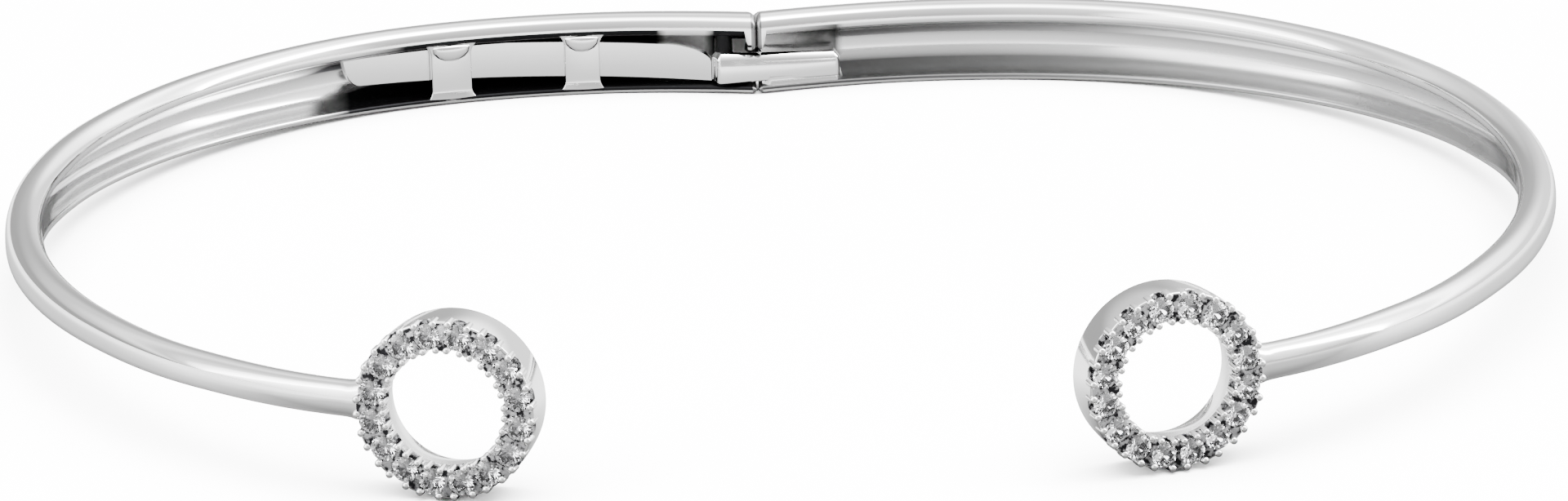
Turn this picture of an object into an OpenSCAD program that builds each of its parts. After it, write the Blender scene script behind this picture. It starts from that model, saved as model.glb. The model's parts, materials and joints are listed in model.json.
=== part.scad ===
// Hinged oval bangle with two stone-set rings at its front, lying on its side

/* [Bangle] */
// Width of the hollow, side to side
inner_width = 59; // [50:0.5:68]
// Depth of the hollow's curve, from the hinge to the front
inner_depth = 48; // [42:0.5:58]
// Distance between the centres of the two front rings
ring_spacing = 27.4; // [20:0.2:34]

/* [Band] */
// Height of the band at the hinge
band_height = 3.3; // [2.8:0.1:4.2]
// Thickness of the band at the hinge
band_thickness = 2; // [1.8:0.05:2.6]
// Height of an arm where it meets its ring
tip_height = 1.42; // [1.1:0.02:1.8]
// Thickness of an arm where it meets its ring
tip_thickness = 1.3; // [1:0.05:1.6]
// How full the shoulders of the domed section are, 2 for an ellipse
fullness = 2.6; // [2:0.1:4]
// Rounding of the edges beside the wrist
edge_round = 0.14; // [0.05:0.01:0.2]
// Crown of the slim part's wrist side
inner_crown = 0.1; // [0.05:0.01:0.2]

/* [Channel] */
// Mean height of the lips above and below the channel
lip_height = 0.42; // [0.3:0.02:0.6]
// How far the channel lies below the middle of the band
channel_drop = 0.13; // [0:0.01:0.2]
// Wall left between the channel and the outside
wall = 0.45; // [0.35:0.05:0.7]
// Bearing from the hinge at which the channel begins to run out
channel_bearing = 70; // [50:1:90]
// Angle over which the channel runs out
channel_runout = 24; // [12:1:40]
// Length of the collar that narrows the channel at the joint
collar_length = 0.55; // [0.5:0.05:0.8]
// How far the collar reaches down from the upper lip
collar_depth = 0.6; // [0.2:0.05:0.7]

/* [Bridges] */
// Thickness of a bridge across the channel
bridge_thickness = 0.32; // [0.2:0.02:0.45]
// Width of the bridge nearer the hinge
near_bridge_width = 1.45; // [0.8:0.05:2.2]
// Width of the bridge further from the hinge
far_bridge_width = 1.7; // [0.8:0.05:2.4]
// Distance from the joint to the middle of the nearer bridge
near_bridge_at = 7.3; // [5:0.1:9]
// Distance from the joint to the middle of the further bridge
far_bridge_at = 12.8; // [11:0.1:15]
// How far a bridge is soldered into each lip
bridge_seat = 0.12; // [0.05:0.01:0.2]

/* [Leaf spring] */
// Height of the leaf spring
leaf_height = 1.3; // [1:0.05:1.6]
// How far the leaf bows down towards the joint
leaf_bow = 0.4; // [0:0.05:0.5]
// Thickness of the leaf spring
leaf_thickness = 0.3; // [0.2:0.02:0.4]
// Distance from the joint to the leaf's far end
leaf_far = 17.4; // [15.5:0.1:20]
// Gap left round the leaf
leaf_gap = 0.05; // [0.03:0.01:0.1]
// Length of a leaf's rounded end
leaf_end = 0.9; // [0.4:0.05:1.4]

/* [Hinge] */
// Diameter of the hinge pin
pin_diameter = 0.7; // [0.5:0.05:0.8]
// Distance from the joint back to the pin
pin_setback = 1.3; // [1.2:0.05:1.6]
// Distance from the wrist side to the middle of the pin
pin_depth = 0.85; // [0.8:0.01:0.95]
// Clearance round the pin
pin_clearance = 0.03; // [0.02:0.01:0.06]
// Gap between the two arms at the joint
joint_gap = 0.09; // [0.05:0.01:0.15]
// Height of the tongue soldered in the right arm
tongue_height = 1; // [0.8:0.05:1.1]
// How far the tongue lies below the middle of the band
tongue_drop = 0.7; // [0:0.05:0.75]
// Gap left round the tongue in the left arm
tongue_gap = 0.05; // [0.03:0.01:0.08]
// How far the tongue reaches into the right arm
tongue_reach = 3.5; // [2.5:0.1:5]
// How far the tongue's face lies back from the wrist side
tongue_setback = 0.1; // [0.05:0.01:0.2]
// Metal round the pin in the tongue
boss_wall = 0.15; // [0.12:0.01:0.18]
// How far the right arm swings open
open_angle = 32; // [20:1:34]

/* [Rings] */
// Outside diameter of a front ring
ring_diameter = 7.1; // [6.6:0.05:7.8]
// Diameter of the hole in a ring
hole_diameter = 4.6; // [4.2:0.05:4.9]
// Depth of a ring, from its back to its stone face
ring_depth = 1.8; // [1.5:0.05:2.4]
// Rounding of a ring's outer back edge
ring_round = 0.45; // [0.2:0.05:0.6]
// Angle by which a ring's stone face is turned away from the front
ring_turn = 16.5; // [5:0.5:30]
// How far the arm's end is sunk in its ring
solder_depth = 0.35; // [0.2:0.05:0.5]

/* [Stones] */
// Number of stones round each ring
stone_count = 16; // [14:1:16]
// Diameter of a stone
stone_diameter = 1.04; // [0.9:0.01:1.06]
// Clearance between a stone and its seat
stone_clearance = 0.03; // [0.02:0.01:0.04]
// How far the girdle lies below the stone face
girdle_drop = 0.08; // [0:0.01:0.15]
// Diameter of the light hole behind each stone
light_hole = 0.5; // [0.3:0.05:0.6]
// Diameter of the round cut beside each stone
scallop_diameter = 0.72; // [0.5:0.02:0.76]

/* [Prongs] */
// Diameter of an outer prong
outer_prong = 0.34; // [0.24:0.02:0.4]
// Diameter of an inner prong
inner_prong = 0.3; // [0.2:0.02:0.34]
// Height of a prong above the stone face
prong_rise = 0.2; // [0.1:0.01:0.26]
// Length of a prong below the stone face
prong_root = 0.45; // [0.3:0.05:0.7]
// Angle about the ring between the two prongs of a pair
prong_pair = 9.8; // [8:0.2:11]

/* [Hidden] */
SIDES = [["left", -1], ["right", 1]];

// Line of the wrist side. Columns: bearing from the hinge, reach as a share of the ellipse
// of inner_width by inner_depth
PLAN = [
    [0, 0.955],
    [15, 1.028],
    [30, 1.070],
    [45, 1.062],
    [60, 1.036],
    [75, 1.011],
    [90, 1.000],
    [105, 1.010],
    [120, 1.041],
    [135, 1.088],
    [150, 1.118],
    [165, 1.060]
];
PLAN_STEP = PLAN[1][0] - PLAN[0][0];

// Taper of an arm. Columns: bearing, share of the height and of the thickness
// left between the tip's value (0) and the hinge's value (1)
TAPER = [
    [0, 1.00, 1.00],
    [30, 0.99, 0.80],
    [60, 0.70, 0.44],
    [90, 0.28, 0.22],
    [120, 0.06, 0.08],
    [150, 0.00, 0.00],
    [180, 0.00, 0.00]
];
TAPER_STEP = TAPER[1][0] - TAPER[0][0];

// Proportions of a round brilliant, as shares of its diameter
TABLE_SHARE = 0.56;
CROWN_SHARE = 0.15;
GIRDLE_SHARE = 0.03;
PAVILION_SHARE = 0.43;
STAR_SHARE = 0.78;
LOWER_SHARE = 0.26;
MAINS = 8;

STATIONS = 38;
CHANNEL_STEPS = 8;
SHOULDER_STEPS = 2 * CHANNEL_STEPS - 4;
LEAF_STATIONS = 12;
CHANNEL_FULLNESS = 2.4;
SMALL = 0.01;
FAR = 20;
BORE_FN = 48;
SMALL_FN = 24;

channel_floor = band_thickness - wall;
knuckle_radius = pin_setback;
boss_radius = pin_diameter / 2 + pin_clearance + boss_wall;
ring_radius = ring_diameter / 2;
hole_radius = hole_diameter / 2;
seat_radius = (ring_radius + hole_radius) / 2;
stone_radius = stone_diameter / 2;
outer_prong_circle = ring_radius - 0.38 * outer_prong;
inner_prong_circle = hole_radius + 0.38 * inner_prong;

// A smooth curve through equally spaced values
function spline(p0, p1, p2, p3, t) =
    0.5 * (2 * p1 + (p2 - p0) * t + (2 * p0 - 5 * p1 + 4 * p2 - p3) * pow(t, 2)
    + (3 * p1 - p0 - 3 * p2 + p3) * pow(t, 3));

// The value of a table's column at any bearing
function row(table, i, column) =
    i < 0 ? 2 * table[0][column] - table[-i][column]
    : table[min(i, len(table) - 1)][column];
function lookup_smooth(table, step, column, bearing) =
    let (s = bearing / step, i = floor(s))
    spline(row(table, i - 1, column), row(table, i, column),
        row(table, i + 1, column), row(table, i + 2, column), s - i);

// The right arm's wrist side, seen from above, and its outward direction
function plan_point(bearing) =
    let (reach = lookup_smooth(PLAN, PLAN_STEP, 1, bearing))
    [inner_width / 2 * reach * sin(bearing), inner_depth / 2 * reach * cos(bearing)];
function along(bearing) =
    let (v = plan_point(bearing + 0.5) - plan_point(bearing - 0.5)) v / norm(v);
function outward(bearing) = let (t = along(bearing)) [-t[1], t[0]];
function plan_at(bearing, depth) = plan_point(bearing) + depth * outward(bearing);

// Height and thickness of the band at a bearing
function height_at(bearing) =
    tip_height + (band_height - tip_height) * lookup_smooth(TAPER, TAPER_STEP, 1, bearing);
function thickness_at(bearing) =
    tip_thickness
    + (band_thickness - tip_thickness) * lookup_smooth(TAPER, TAPER_STEP, 2, bearing);

// The bearing at which the wrist side lies a given distance beside the joint
function bearing_across(x, low = 0, high = 60, steps = 24) =
    let (middle = (low + high) / 2)
    steps == 0 ? middle
    : plan_point(middle)[0] < x ? bearing_across(x, middle, high, steps - 1)
    : bearing_across(x, low, middle, steps - 1);

// A front ring's middle is soldered to the end of its arm
function ring_centre_from(bearing) =
    plan_at(bearing, thickness_at(bearing) / 2)
    - (ring_radius - solder_depth) * [cos(ring_turn), sin(ring_turn)];
function tip_bearing_for(low = 110, high = 164, steps = 24) =
    let (middle = (low + high) / 2)
    steps == 0 ? middle
    : ring_centre_from(middle)[0] > ring_spacing / 2 ? tip_bearing_for(middle, high, steps - 1)
    : tip_bearing_for(low, middle, steps - 1);
tip_bearing = tip_bearing_for();
ring_centre = ring_centre_from(tip_bearing);

// The bangle rests on the lower edge of its hinge and on both rings
pin_place = [-pin_setback, plan_point(0)[1] + pin_depth];
rest_back = plan_point(0)[1] + band_thickness / 4;
ring_rest = ring_centre[1] + (ring_depth / 2 - ring_round) * cos(ring_turn);
lean = atan((ring_radius - band_height / 2) / (rest_back - ring_rest));
lift = ring_radius * cos(lean) + ring_rest * sin(lean);

// Depth of the channel at a bearing, running out along the arm
function channel_share(bearing) =
    let (t = min(1, max(0, (bearing - channel_bearing) / channel_runout)))
    1 - t * t * (3 - 2 * t);
function channel_depth(bearing) =
    let (share = channel_share(bearing))
    (thickness_at(bearing) - wall) * share - inner_crown * (1 - share);
function collar_at(x) = x < collar_length + SMALL ? collar_depth : 0;

// Half of the band's height at the hinge, a given depth behind the wrist side
function dome_half(depth) =
    let (share = (depth - edge_round) / (band_thickness - edge_round))
    band_height / 2 * pow(1 - pow(share, fullness), 1 / fullness);

// One section of an arm: [depth from the wrist side, height], anticlockwise
function signed_pow(v, e) = sign(v) * pow(abs(v), e);
function section(bearing) =
    let (
        half = height_at(bearing) / 2,
        thickness = thickness_at(bearing),
        depth = channel_depth(bearing),
        mouth = half - lip_height,
        upper = mouth - collar_at(plan_point(bearing)[0]),
        drop = channel_drop * channel_share(bearing),
        dome = [for (i = [1:SHOULDER_STEPS - 1]) let (a = -90 + 180 * i / SHOULDER_STEPS)
            [edge_round + (thickness - edge_round) * signed_pow(cos(a), 2 / fullness),
            half * signed_pow(sin(a), 2 / fullness)]],
        hollow = [for (i = [0:CHANNEL_STEPS]) let (a = 90 - 180 * i / CHANNEL_STEPS)
            [depth * signed_pow(abs(cos(a)) < SMALL ? 0 : cos(a), 2 / CHANNEL_FULLNESS),
            (a > 0 ? upper : mouth) * signed_pow(sin(a), 2 / CHANNEL_FULLNESS) - drop]]
    )
    concat(
        [[0, edge_round - half], [0.3 * edge_round, 0.3 * edge_round - half], [edge_round, -half]],
        dome,
        [[edge_round, half], [0.3 * edge_round, half - 0.3 * edge_round], [0, half - edge_round]],
        hollow
    );

// A solid swept through rings of points. Each end is closed by its own flat triangles
module sweep(rings, cap) {
    count = len(rings[0]);
    last = len(rings) - 1;
    faces = concat(
        cap,
        [for (i = [0:last - 1]) for (j = [0:count - 1])
            let (a = i * count, b = a + count, k = (j + 1) % count)
            each [[a + j, b + j, b + k], [a + j, b + k, a + k]]],
        [for (f = cap) [for (j = [len(f) - 1:-1:0]) last * count + f[j]]]
    );
    polyhedron([for (ring = rings) each ring], faces);
}

// Triangles between a section's outer line and its hollow line
function section_cap() =
    let (last = 3 * CHANNEL_STEPS + 1)
    [for (i = [0:CHANNEL_STEPS - 1])
        each [
            [2 * i, 2 * i + 1, last - i],
            [2 * i + 1, 2 * i + 2, last - i - 1],
            [2 * i + 1, last - i - 1, last - i]
        ]];

// The bearings of an arm's sections: close together at the collar, even after it
function stations(start_x) =
    let (
        collar = bearing_across(collar_length),
        past = bearing_across(collar_length + 2 * SMALL)
    )
    concat(
        start_x < 0 ? [-bearing_across(-start_x)] : [bearing_across(start_x)],
        [collar, past],
        [for (i = [1:STATIONS]) past + (tip_bearing - past) * i / STATIONS]
    );

// The right arm's bar, starting a little before the joint
module arm_bar(start_x) {
    sweep([for (bearing = stations(start_x))
        [for (p = section(bearing)) let (q = plan_at(bearing, p[0])) [q[0], q[1], p[1]]]],
        section_cap());
}

// Puts a front ring's shape in its place: local Z points out of the stone face
module at_ring() {
    translate([ring_centre[0], ring_centre[1], 0])
        rotate([0, 0, ring_turn])
            rotate([90, 0, 0])
                translate([0, 0, -ring_depth / 2])
                    children();
}

module ring_profile() {
    translate([hole_radius, 0])
        square([ring_radius - ring_round - hole_radius, ring_depth]);
    translate([hole_radius, ring_round])
        square([ring_radius - hole_radius, ring_depth - ring_round]);
    translate([ring_radius - ring_round, ring_round])
        circle(r = ring_round, $fn = SMALL_FN);
}

// Repeats a shape once for every stone, at the stone's girdle
module each_stone() {
    for (i = [0:stone_count - 1])
        rotate([0, 0, stone_bearing(i)])
            translate([seat_radius, 0, ring_depth - girdle_drop])
                children();
}
function stone_bearing(i) = 90 - 360 * (i + 0.5) / stone_count;

// The room cut for one stone: light hole, pavilion, girdle and crown
module seat_cut() {
    gap = stone_clearance;
    pavilion = PAVILION_SHARE * stone_diameter;
    half_girdle = GIRDLE_SHARE * stone_diameter / 2;
    crown = CROWN_SHARE * stone_diameter;
    rotate_extrude($fn = SMALL_FN)
        polygon([
            [0, -pavilion - 2 * gap],
            [stone_radius + gap, -half_girdle - gap],
            [stone_radius + gap, half_girdle + gap],
            [TABLE_SHARE * stone_radius + 2 * gap, half_girdle + crown + 2 * gap],
            [TABLE_SHARE * stone_radius + 2 * gap, half_girdle + crown + prong_rise],
            [0, half_girdle + crown + prong_rise]
        ]);
    translate([0, 0, -ring_depth])
        cylinder(d = light_hole, h = ring_depth, $fn = SMALL_FN);
}

// The round cut that opens a stone's seat to both walls of the ring
module scallop_cut() {
    translate([0, 0, girdle_drop])
        rotate([0, 90, 0])
            translate([0, 0, hole_radius - seat_radius - 1])
                cylinder(d = scallop_diameter, h = ring_radius - hole_radius + 2, $fn = SMALL_FN);
}

module prong(diameter) {
    tip = 0.4 * diameter;
    translate([0, 0, ring_depth - prong_root])
        cylinder(d = diameter, h = prong_root + prong_rise - tip, $fn = SMALL_FN);
    translate([0, 0, ring_depth + prong_rise - tip])
        cylinder(d1 = diameter, d2 = 0.5 * diameter, h = tip, $fn = SMALL_FN);
}

module prongs() {
    for (i = [0:stone_count - 1], side = [-1, 1])
        rotate([0, 0, stone_bearing(i) + 180 / stone_count + side * prong_pair / 2]) {
            translate([outer_prong_circle, 0, 0])
                prong(outer_prong);
            translate([inner_prong_circle, 0, 0])
                prong(inner_prong);
        }
}

// An arm's bar soldered to its ring, with the stones' seats cut in it
module arm_with_ring(start_x) {
    difference() {
        union() {
            arm_bar(start_x);
            at_ring() {
                difference() {
                    rotate_extrude($fn = BORE_FN)
                        ring_profile();
                    each_stone()
                        scallop_cut();
                }
                prongs();
            }
        }
        at_ring() {
            each_stone()
                seat_cut();
            translate([0, 0, -1])
                cylinder(r = hole_radius, h = ring_depth + 2, $fn = BORE_FN);
        }
    }
}

// A bridge soldered across the channel, seen on the right side and mirrored with its arm
module bridge(across, width) {
    bearing = bearing_across(across);
    spot = plan_point(bearing);
    t = along(bearing);
    tall = height_at(bearing) - 2 * lip_height + 2 * bridge_seat;
    translate([spot[0], spot[1], 0])
        rotate([0, 0, atan2(t[1], t[0])])
            translate([-width / 2, edge_round / 2, -channel_drop - tall / 2])
                cube([width, bridge_thickness, tall]);
}

module at_pin() {
    translate([pin_place[0], pin_place[1], 0])
        children();
}

// The tongue: a boss round the pin and a plate that clears the outer wall when the arm swings
module tongue_outline() {
    reach = tongue_reach + pin_setback;
    face = tongue_setback - pin_depth;
    swing = open_angle + tongue_turn;
    start = boss_radius * [sin(swing), cos(swing)];
    knee = boss_radius / cos(swing) - (knuckle_radius + joint_gap) * tan(swing);
    floor = channel_floor - pin_depth - SMALL;
    circle(r = boss_radius, $fn = BORE_FN);
    polygon([
        [0, face],
        [reach, face],
        [reach, floor],
        [knuckle_radius + joint_gap, floor],
        [knuckle_radius + joint_gap, knee],
        start,
        [0, 0]
    ]);
}

module tongue() {
    at_pin()
        rotate([0, 0, tongue_turn])
            difference() {
                translate([0, 0, -tongue_drop - tongue_height / 2])
                    linear_extrude(tongue_height)
                        tongue_outline();
                cylinder(r = pin_diameter / 2 + pin_clearance, h = FAR, center = true, $fn = SMALL_FN);
            }
}
// The tongue follows the wrist side of the right arm
tongue_tip = plan_point(bearing_across(tongue_reach));
tongue_turn = atan2(tongue_tip[1] - plan_point(0)[1], tongue_tip[0] + pin_setback);

// Lays the bangle on its rings and hinge
module laid() {
    translate([0, 0, lift])
        rotate([-lean, 0, 0])
            children();
}

// The room in the left arm in which the tongue turns
module tongue_room() {
    at_pin()
        translate([
            -boss_radius - tongue_gap,
            -FAR,
            -tongue_drop - tongue_height / 2 - tongue_gap
        ])
            cube([FAR, FAR + boss_radius + tongue_gap, tongue_height + 2 * tongue_gap]);
}

// The room inside the joint: straight beside the wrist, round about the pin outside it
module joint_room(gap) {
    at_pin() {
        cylinder(r = knuckle_radius + gap, h = 2 * FAR, center = true, $fn = BORE_FN);
        translate([-FAR, -FAR, -FAR])
            cube([FAR + knuckle_radius + gap - 2 * SMALL, FAR, 2 * FAR]);
    }
}

// The left arm: its end is round about the pin, and its ears hold the pin
module left_arm() {
    color("silver")
        laid()
            difference() {
                union() {
                    mirror([1, 0, 0])
                        arm_with_ring(-knuckle_radius / 2);
                    mirror([1, 0, 0])
                        bridge(near_bridge_at, near_bridge_width);
                    mirror([1, 0, 0])
                        bridge(far_bridge_at, far_bridge_width);
                }
                difference() {
                    at_pin()
                        translate([0, -FAR / 2, -FAR / 2])
                            cube(FAR);
                    joint_room(0);
                }
                tongue_room();
                at_pin()
                    cylinder(r = pin_diameter / 2 + SMALL, h = FAR, center = true, $fn = SMALL_FN);
            }
}

// The right arm: hollowed round the left arm's end, with the tongue soldered in its channel
module right_arm() {
    color("silver")
        laid() {
            difference() {
                arm_with_ring(-knuckle_radius / 2);
                joint_room(joint_gap);
            }
            tongue();
        }
}

// The pin through both ears, no longer than the dome allows
module hinge_pin() {
    color("gainsboro")
        laid()
            at_pin()
                cylinder(d = pin_diameter, h = 2 * dome_half(pin_depth + pin_diameter / 2),
                    center = true, $fn = SMALL_FN);
}

// The leaf spring behind the bridges, pointed at its far end
module leaf_spring() {
    near = pin_setback + boss_radius + 3 * leaf_gap;
    inner = edge_round / 2 + bridge_thickness + leaf_gap;
    steps = concat([near, near + leaf_end / 3, near + leaf_end],
        [for (i = [1:LEAF_STATIONS - 1])
            near + leaf_end + (leaf_far - near - 2 * leaf_end) * i / LEAF_STATIONS],
        [leaf_far - leaf_end, leaf_far - leaf_end / 3, leaf_far]);
    color("gainsboro")
        laid()
            mirror([1, 0, 0])
                sweep([for (x = steps)
                    let (
                        bearing = bearing_across(x),
                        ends = min(x - near, leaf_far - x) / leaf_end,
                        half = leaf_height / 2 * (0.45 + 0.55 * sqrt(max(0, min(1, ends)))),
                        middle = -channel_drop - leaf_bow * pow((leaf_far - x) / (leaf_far - near), 2),
                        a = plan_at(bearing, inner),
                        b = plan_at(bearing, inner + leaf_thickness)
                    )
                    [for (c = [[a, -half], [b, -half], [b, half], [a, half]])
                        [c[0][0], c[0][1], middle + c[1]]]],
                    [[0, 1, 2, 3]]);
}

// A round brilliant, its girdle at height 0
function polar(radius, angle, z) = [radius * cos(angle), radius * sin(angle), z];
module brilliant() {
    step = 360 / MAINS;
    half_girdle = GIRDLE_SHARE * stone_diameter / 2;
    crown = CROWN_SHARE * stone_diameter;
    pavilion = PAVILION_SHARE * stone_diameter;
    table = TABLE_SHARE * stone_radius;
    star = STAR_SHARE * stone_radius;
    lower = LOWER_SHARE * stone_radius;
    star_z = half_girdle
        + crown * (stone_radius - star * cos(step / 2)) / (stone_radius - table);
    lower_z = -pavilion
        + (pavilion - half_girdle) * lower * cos(step / 2) / stone_radius;
    T = 0;
    S = MAINS;
    G = 2 * MAINS;
    L = 4 * MAINS;
    P = 6 * MAINS;
    C = 7 * MAINS;
    points = concat(
        [for (k = [0:MAINS - 1]) polar(table, k * step, half_girdle + crown)],
        [for (k = [0:MAINS - 1]) polar(star, (k + 0.5) * step, star_z)],
        [for (k = [0:2 * MAINS - 1]) polar(stone_radius, k * step / 2, half_girdle)],
        [for (k = [0:2 * MAINS - 1]) polar(stone_radius, k * step / 2, -half_girdle)],
        [for (k = [0:MAINS - 1]) polar(lower, (k + 0.5) * step, lower_z)],
        [[0, 0, -pavilion]]
    );
    faces = concat(
        [[for (k = [MAINS - 1:-1:0]) T + k]],
        [for (k = [0:MAINS - 1])
            let (n = (k + 1) % MAINS, g = 2 * k, h = g + 1, m = (g + 2) % (2 * MAINS))
            each [
                [T + k, T + n, S + k],
                [T + n, G + m, S + k],
                [T + n, S + n, G + m],
                [S + k, G + h, G + g],
                [S + k, G + m, G + h],
                [P + k, L + g, L + h],
                [P + k, L + h, L + m],
                [C, P + k, L + m],
                [C, L + m, P + n]
            ]],
        [for (g = [0:2 * MAINS - 1])
            let (h = (g + 1) % (2 * MAINS))
            each [[G + g, G + h, L + h], [G + g, L + h, L + g]]]
    );
    polyhedron(points, faces);
}

module stone(sign, i) {
    color("white")
        laid()
            mirror([sign < 0 ? 1 : 0, 0, 0])
                at_ring()
                    rotate([0, 0, stone_bearing(i)])
                        translate([seat_radius, 0, ring_depth - girdle_drop])
                            brilliant();
}

left_arm();
right_arm();
hinge_pin();
leaf_spring();
for (side = SIDES)
    for (i = [1:stone_count])
        stone(side[1], i - 1);
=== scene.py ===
"""Dresses a hinged oval bangle: two polished arms, two stone-set rings, a hinge and a leaf spring.

Shapes are worked out in millimetres on the right arm as it stands before it is laid on its
side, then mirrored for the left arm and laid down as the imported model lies.
"""

import json
import logging
import math
from dataclasses import dataclass, field
from enum import Enum

import bmesh
import bpy
import numpy as np
from mathutils import Matrix, Vector


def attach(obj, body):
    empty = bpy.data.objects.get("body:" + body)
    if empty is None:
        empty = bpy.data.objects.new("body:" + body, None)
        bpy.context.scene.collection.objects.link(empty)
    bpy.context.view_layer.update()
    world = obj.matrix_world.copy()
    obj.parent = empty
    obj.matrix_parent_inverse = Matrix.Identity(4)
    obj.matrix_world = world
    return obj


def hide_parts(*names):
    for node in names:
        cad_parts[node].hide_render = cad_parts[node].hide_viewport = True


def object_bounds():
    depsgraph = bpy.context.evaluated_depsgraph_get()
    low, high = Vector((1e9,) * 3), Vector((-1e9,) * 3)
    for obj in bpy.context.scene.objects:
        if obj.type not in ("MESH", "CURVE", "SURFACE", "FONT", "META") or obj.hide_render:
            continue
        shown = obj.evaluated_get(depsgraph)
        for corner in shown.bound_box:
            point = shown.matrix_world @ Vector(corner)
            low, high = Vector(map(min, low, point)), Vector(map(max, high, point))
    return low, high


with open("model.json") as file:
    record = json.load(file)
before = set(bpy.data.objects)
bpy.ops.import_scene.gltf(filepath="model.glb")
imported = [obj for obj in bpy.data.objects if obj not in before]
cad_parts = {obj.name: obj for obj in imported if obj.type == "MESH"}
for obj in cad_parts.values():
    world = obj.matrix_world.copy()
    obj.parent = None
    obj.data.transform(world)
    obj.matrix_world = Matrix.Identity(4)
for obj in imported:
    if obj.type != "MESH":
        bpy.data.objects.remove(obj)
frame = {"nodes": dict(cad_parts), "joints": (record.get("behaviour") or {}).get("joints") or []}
CAD_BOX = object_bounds()

MM = 0.001
SMALL = 0.01
TINY = 1e-9
IMAGE_WIDTH = 1920
LOG = logging.getLogger("bangle")

# Heights of a cut stone as shares of its diameter, and the table's width as a share of the stone's.
GIRDLE_SHARE = 0.03
PAVILION_SHARE = 0.43
CROWN_SHARE = 0.15
TABLE_SHARE = 0.56

Colour = tuple[float, float, float]
Triple = tuple[float, float, float]
Numbers = tuple[float, ...] | list[float]
Pairs = tuple[tuple[float, float], ...]
Points = list[tuple[float, float]]


class Side(Enum):
    """The two halves of the bangle, as the camera sees them."""

    LEFT = "left"
    RIGHT = "right"

    @property
    def body(self) -> str:
        """The body that this half rides on."""
        return f"{self.value}_half"

    @property
    def arm_node(self) -> str:
        """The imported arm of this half."""
        return f"{self.value}_arm"


class Carve(Enum):
    """How one solid works on another."""

    JOIN = "UNION"
    CUT = "DIFFERENCE"


class Skin(Enum):
    """The finishes that one piece carries, by material slot: the channel slot holds painted shade with a
    painted glint, the seat and shade slots hold painted shade.
    """

    POLISHED = 0
    CHANNEL = 1
    SEAT_SHADE = 2
    SHADE = 3


@dataclass
class Shell:
    """A closed mesh in millimetres.

    Args:
        points: One row of x, y, z for each corner.
        faces: Corner numbers of each face.
        skins: The finish of each face, or nothing where all are polished.
    """

    points: np.ndarray
    faces: list[tuple[int, ...]]
    skins: list[int] = field(default_factory=list)

    def __post_init__(self) -> None:
        """Fills in the polished finish where none is given."""
        self.skins = self.skins or [Skin.POLISHED.value] * len(self.faces)

    def finished(self, skin: Skin) -> "Shell":
        """Returns the shell with one finish on every face."""
        return Shell(self.points, self.faces, [skin.value] * len(self.faces))

    def moved(self, matrix: Matrix) -> "Shell":
        """Returns the shell carried along by a matrix."""
        m = np.array(matrix)
        return Shell(self.points @ m[:3, :3].T + m[:3, 3], self.faces, self.skins)


def join_all(shells: list[Shell]) -> Shell:
    """Joins shells into one.

    Args:
        shells: The shells, in order.

    Returns:
        One shell that holds them all.
    """
    faces = []
    start = 0
    for shell in shells:
        faces += [tuple(i + start for i in f) for f in shell.faces]
        start += len(shell.points)
    return Shell(np.vstack([s.points for s in shells]), faces, [skin for s in shells for skin in s.skins])


def quarter(x: float, y: float, size: float, first: float, steps: int = 4) -> Points:
    """Makes a quarter circle, anticlockwise.

    Args:
        x: Its middle, across.
        y: Its middle, up.
        size: Its radius.
        first: Angle at which it starts, in degrees.
        steps: Number of steps.

    Returns:
        Pairs of across and up.
    """
    turns = np.radians(first + np.linspace(0, 90, steps + 1))
    return [(x + size * math.cos(a), y + size * math.sin(a)) for a in turns]


def revolve(profile: Points, segments: int, closed: bool = False) -> Shell:
    """Turns a profile about Z.

    Args:
        profile: Pairs of radius and height. Without closed, both ends lie on the axis.
        segments: Number of steps round the axis.
        closed: True for a profile that is a loop clear of the axis.

    Returns:
        A closed shell.
    """
    ring = profile if closed else profile[1:-1]
    turns = np.arange(segments) * 2 * math.pi / segments
    points = np.vstack([np.stack([r * np.cos(turns), r * np.sin(turns), 0 * turns + z], -1) for r, z in ring])
    steps = [(j, (j + 1) % segments) for j in range(segments)]
    faces = []
    for i in range(len(ring) if closed else len(ring) - 1):
        a = i * segments
        b = (i + 1) % len(ring) * segments
        faces += [(a + j, a + k, b + k, b + j) for j, k in steps]
    if not closed:
        low = len(points)
        last = low - segments
        points = np.vstack([points, [[0, 0, profile[0][1]], [0, 0, profile[-1][1]]]])
        for j, k in steps:
            faces += [(low, k, j), (low + 1, last + j, last + k)]
    return Shell(points, faces)


def sweep(rings: np.ndarray, cap: list[tuple[int, ...]] | None = None) -> Shell:
    """Joins rings of points into a tube with closed ends.

    Args:
        rings: Array of stations by points by 3.
        cap: Faces that close one end, in the numbers of one ring's points, or nothing for one face.

    Returns:
        A closed shell.
    """
    stations, count = rings.shape[:2]
    cap = cap or [tuple(range(count))]
    index = np.arange(stations * count).reshape(stations, count)
    a, b = index[:-1], index[1:]
    quads = np.stack([a, np.roll(a, -1, 1), np.roll(b, -1, 1), b], -1).reshape(-1, 4)
    last = (stations - 1) * count
    faces = [tuple(q) for q in quads.tolist()]
    faces += [tuple(reversed(f)) for f in cap]
    faces += [tuple(last + i for i in f) for f in cap]
    return Shell(rings.reshape(-1, 3), faces)


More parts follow.
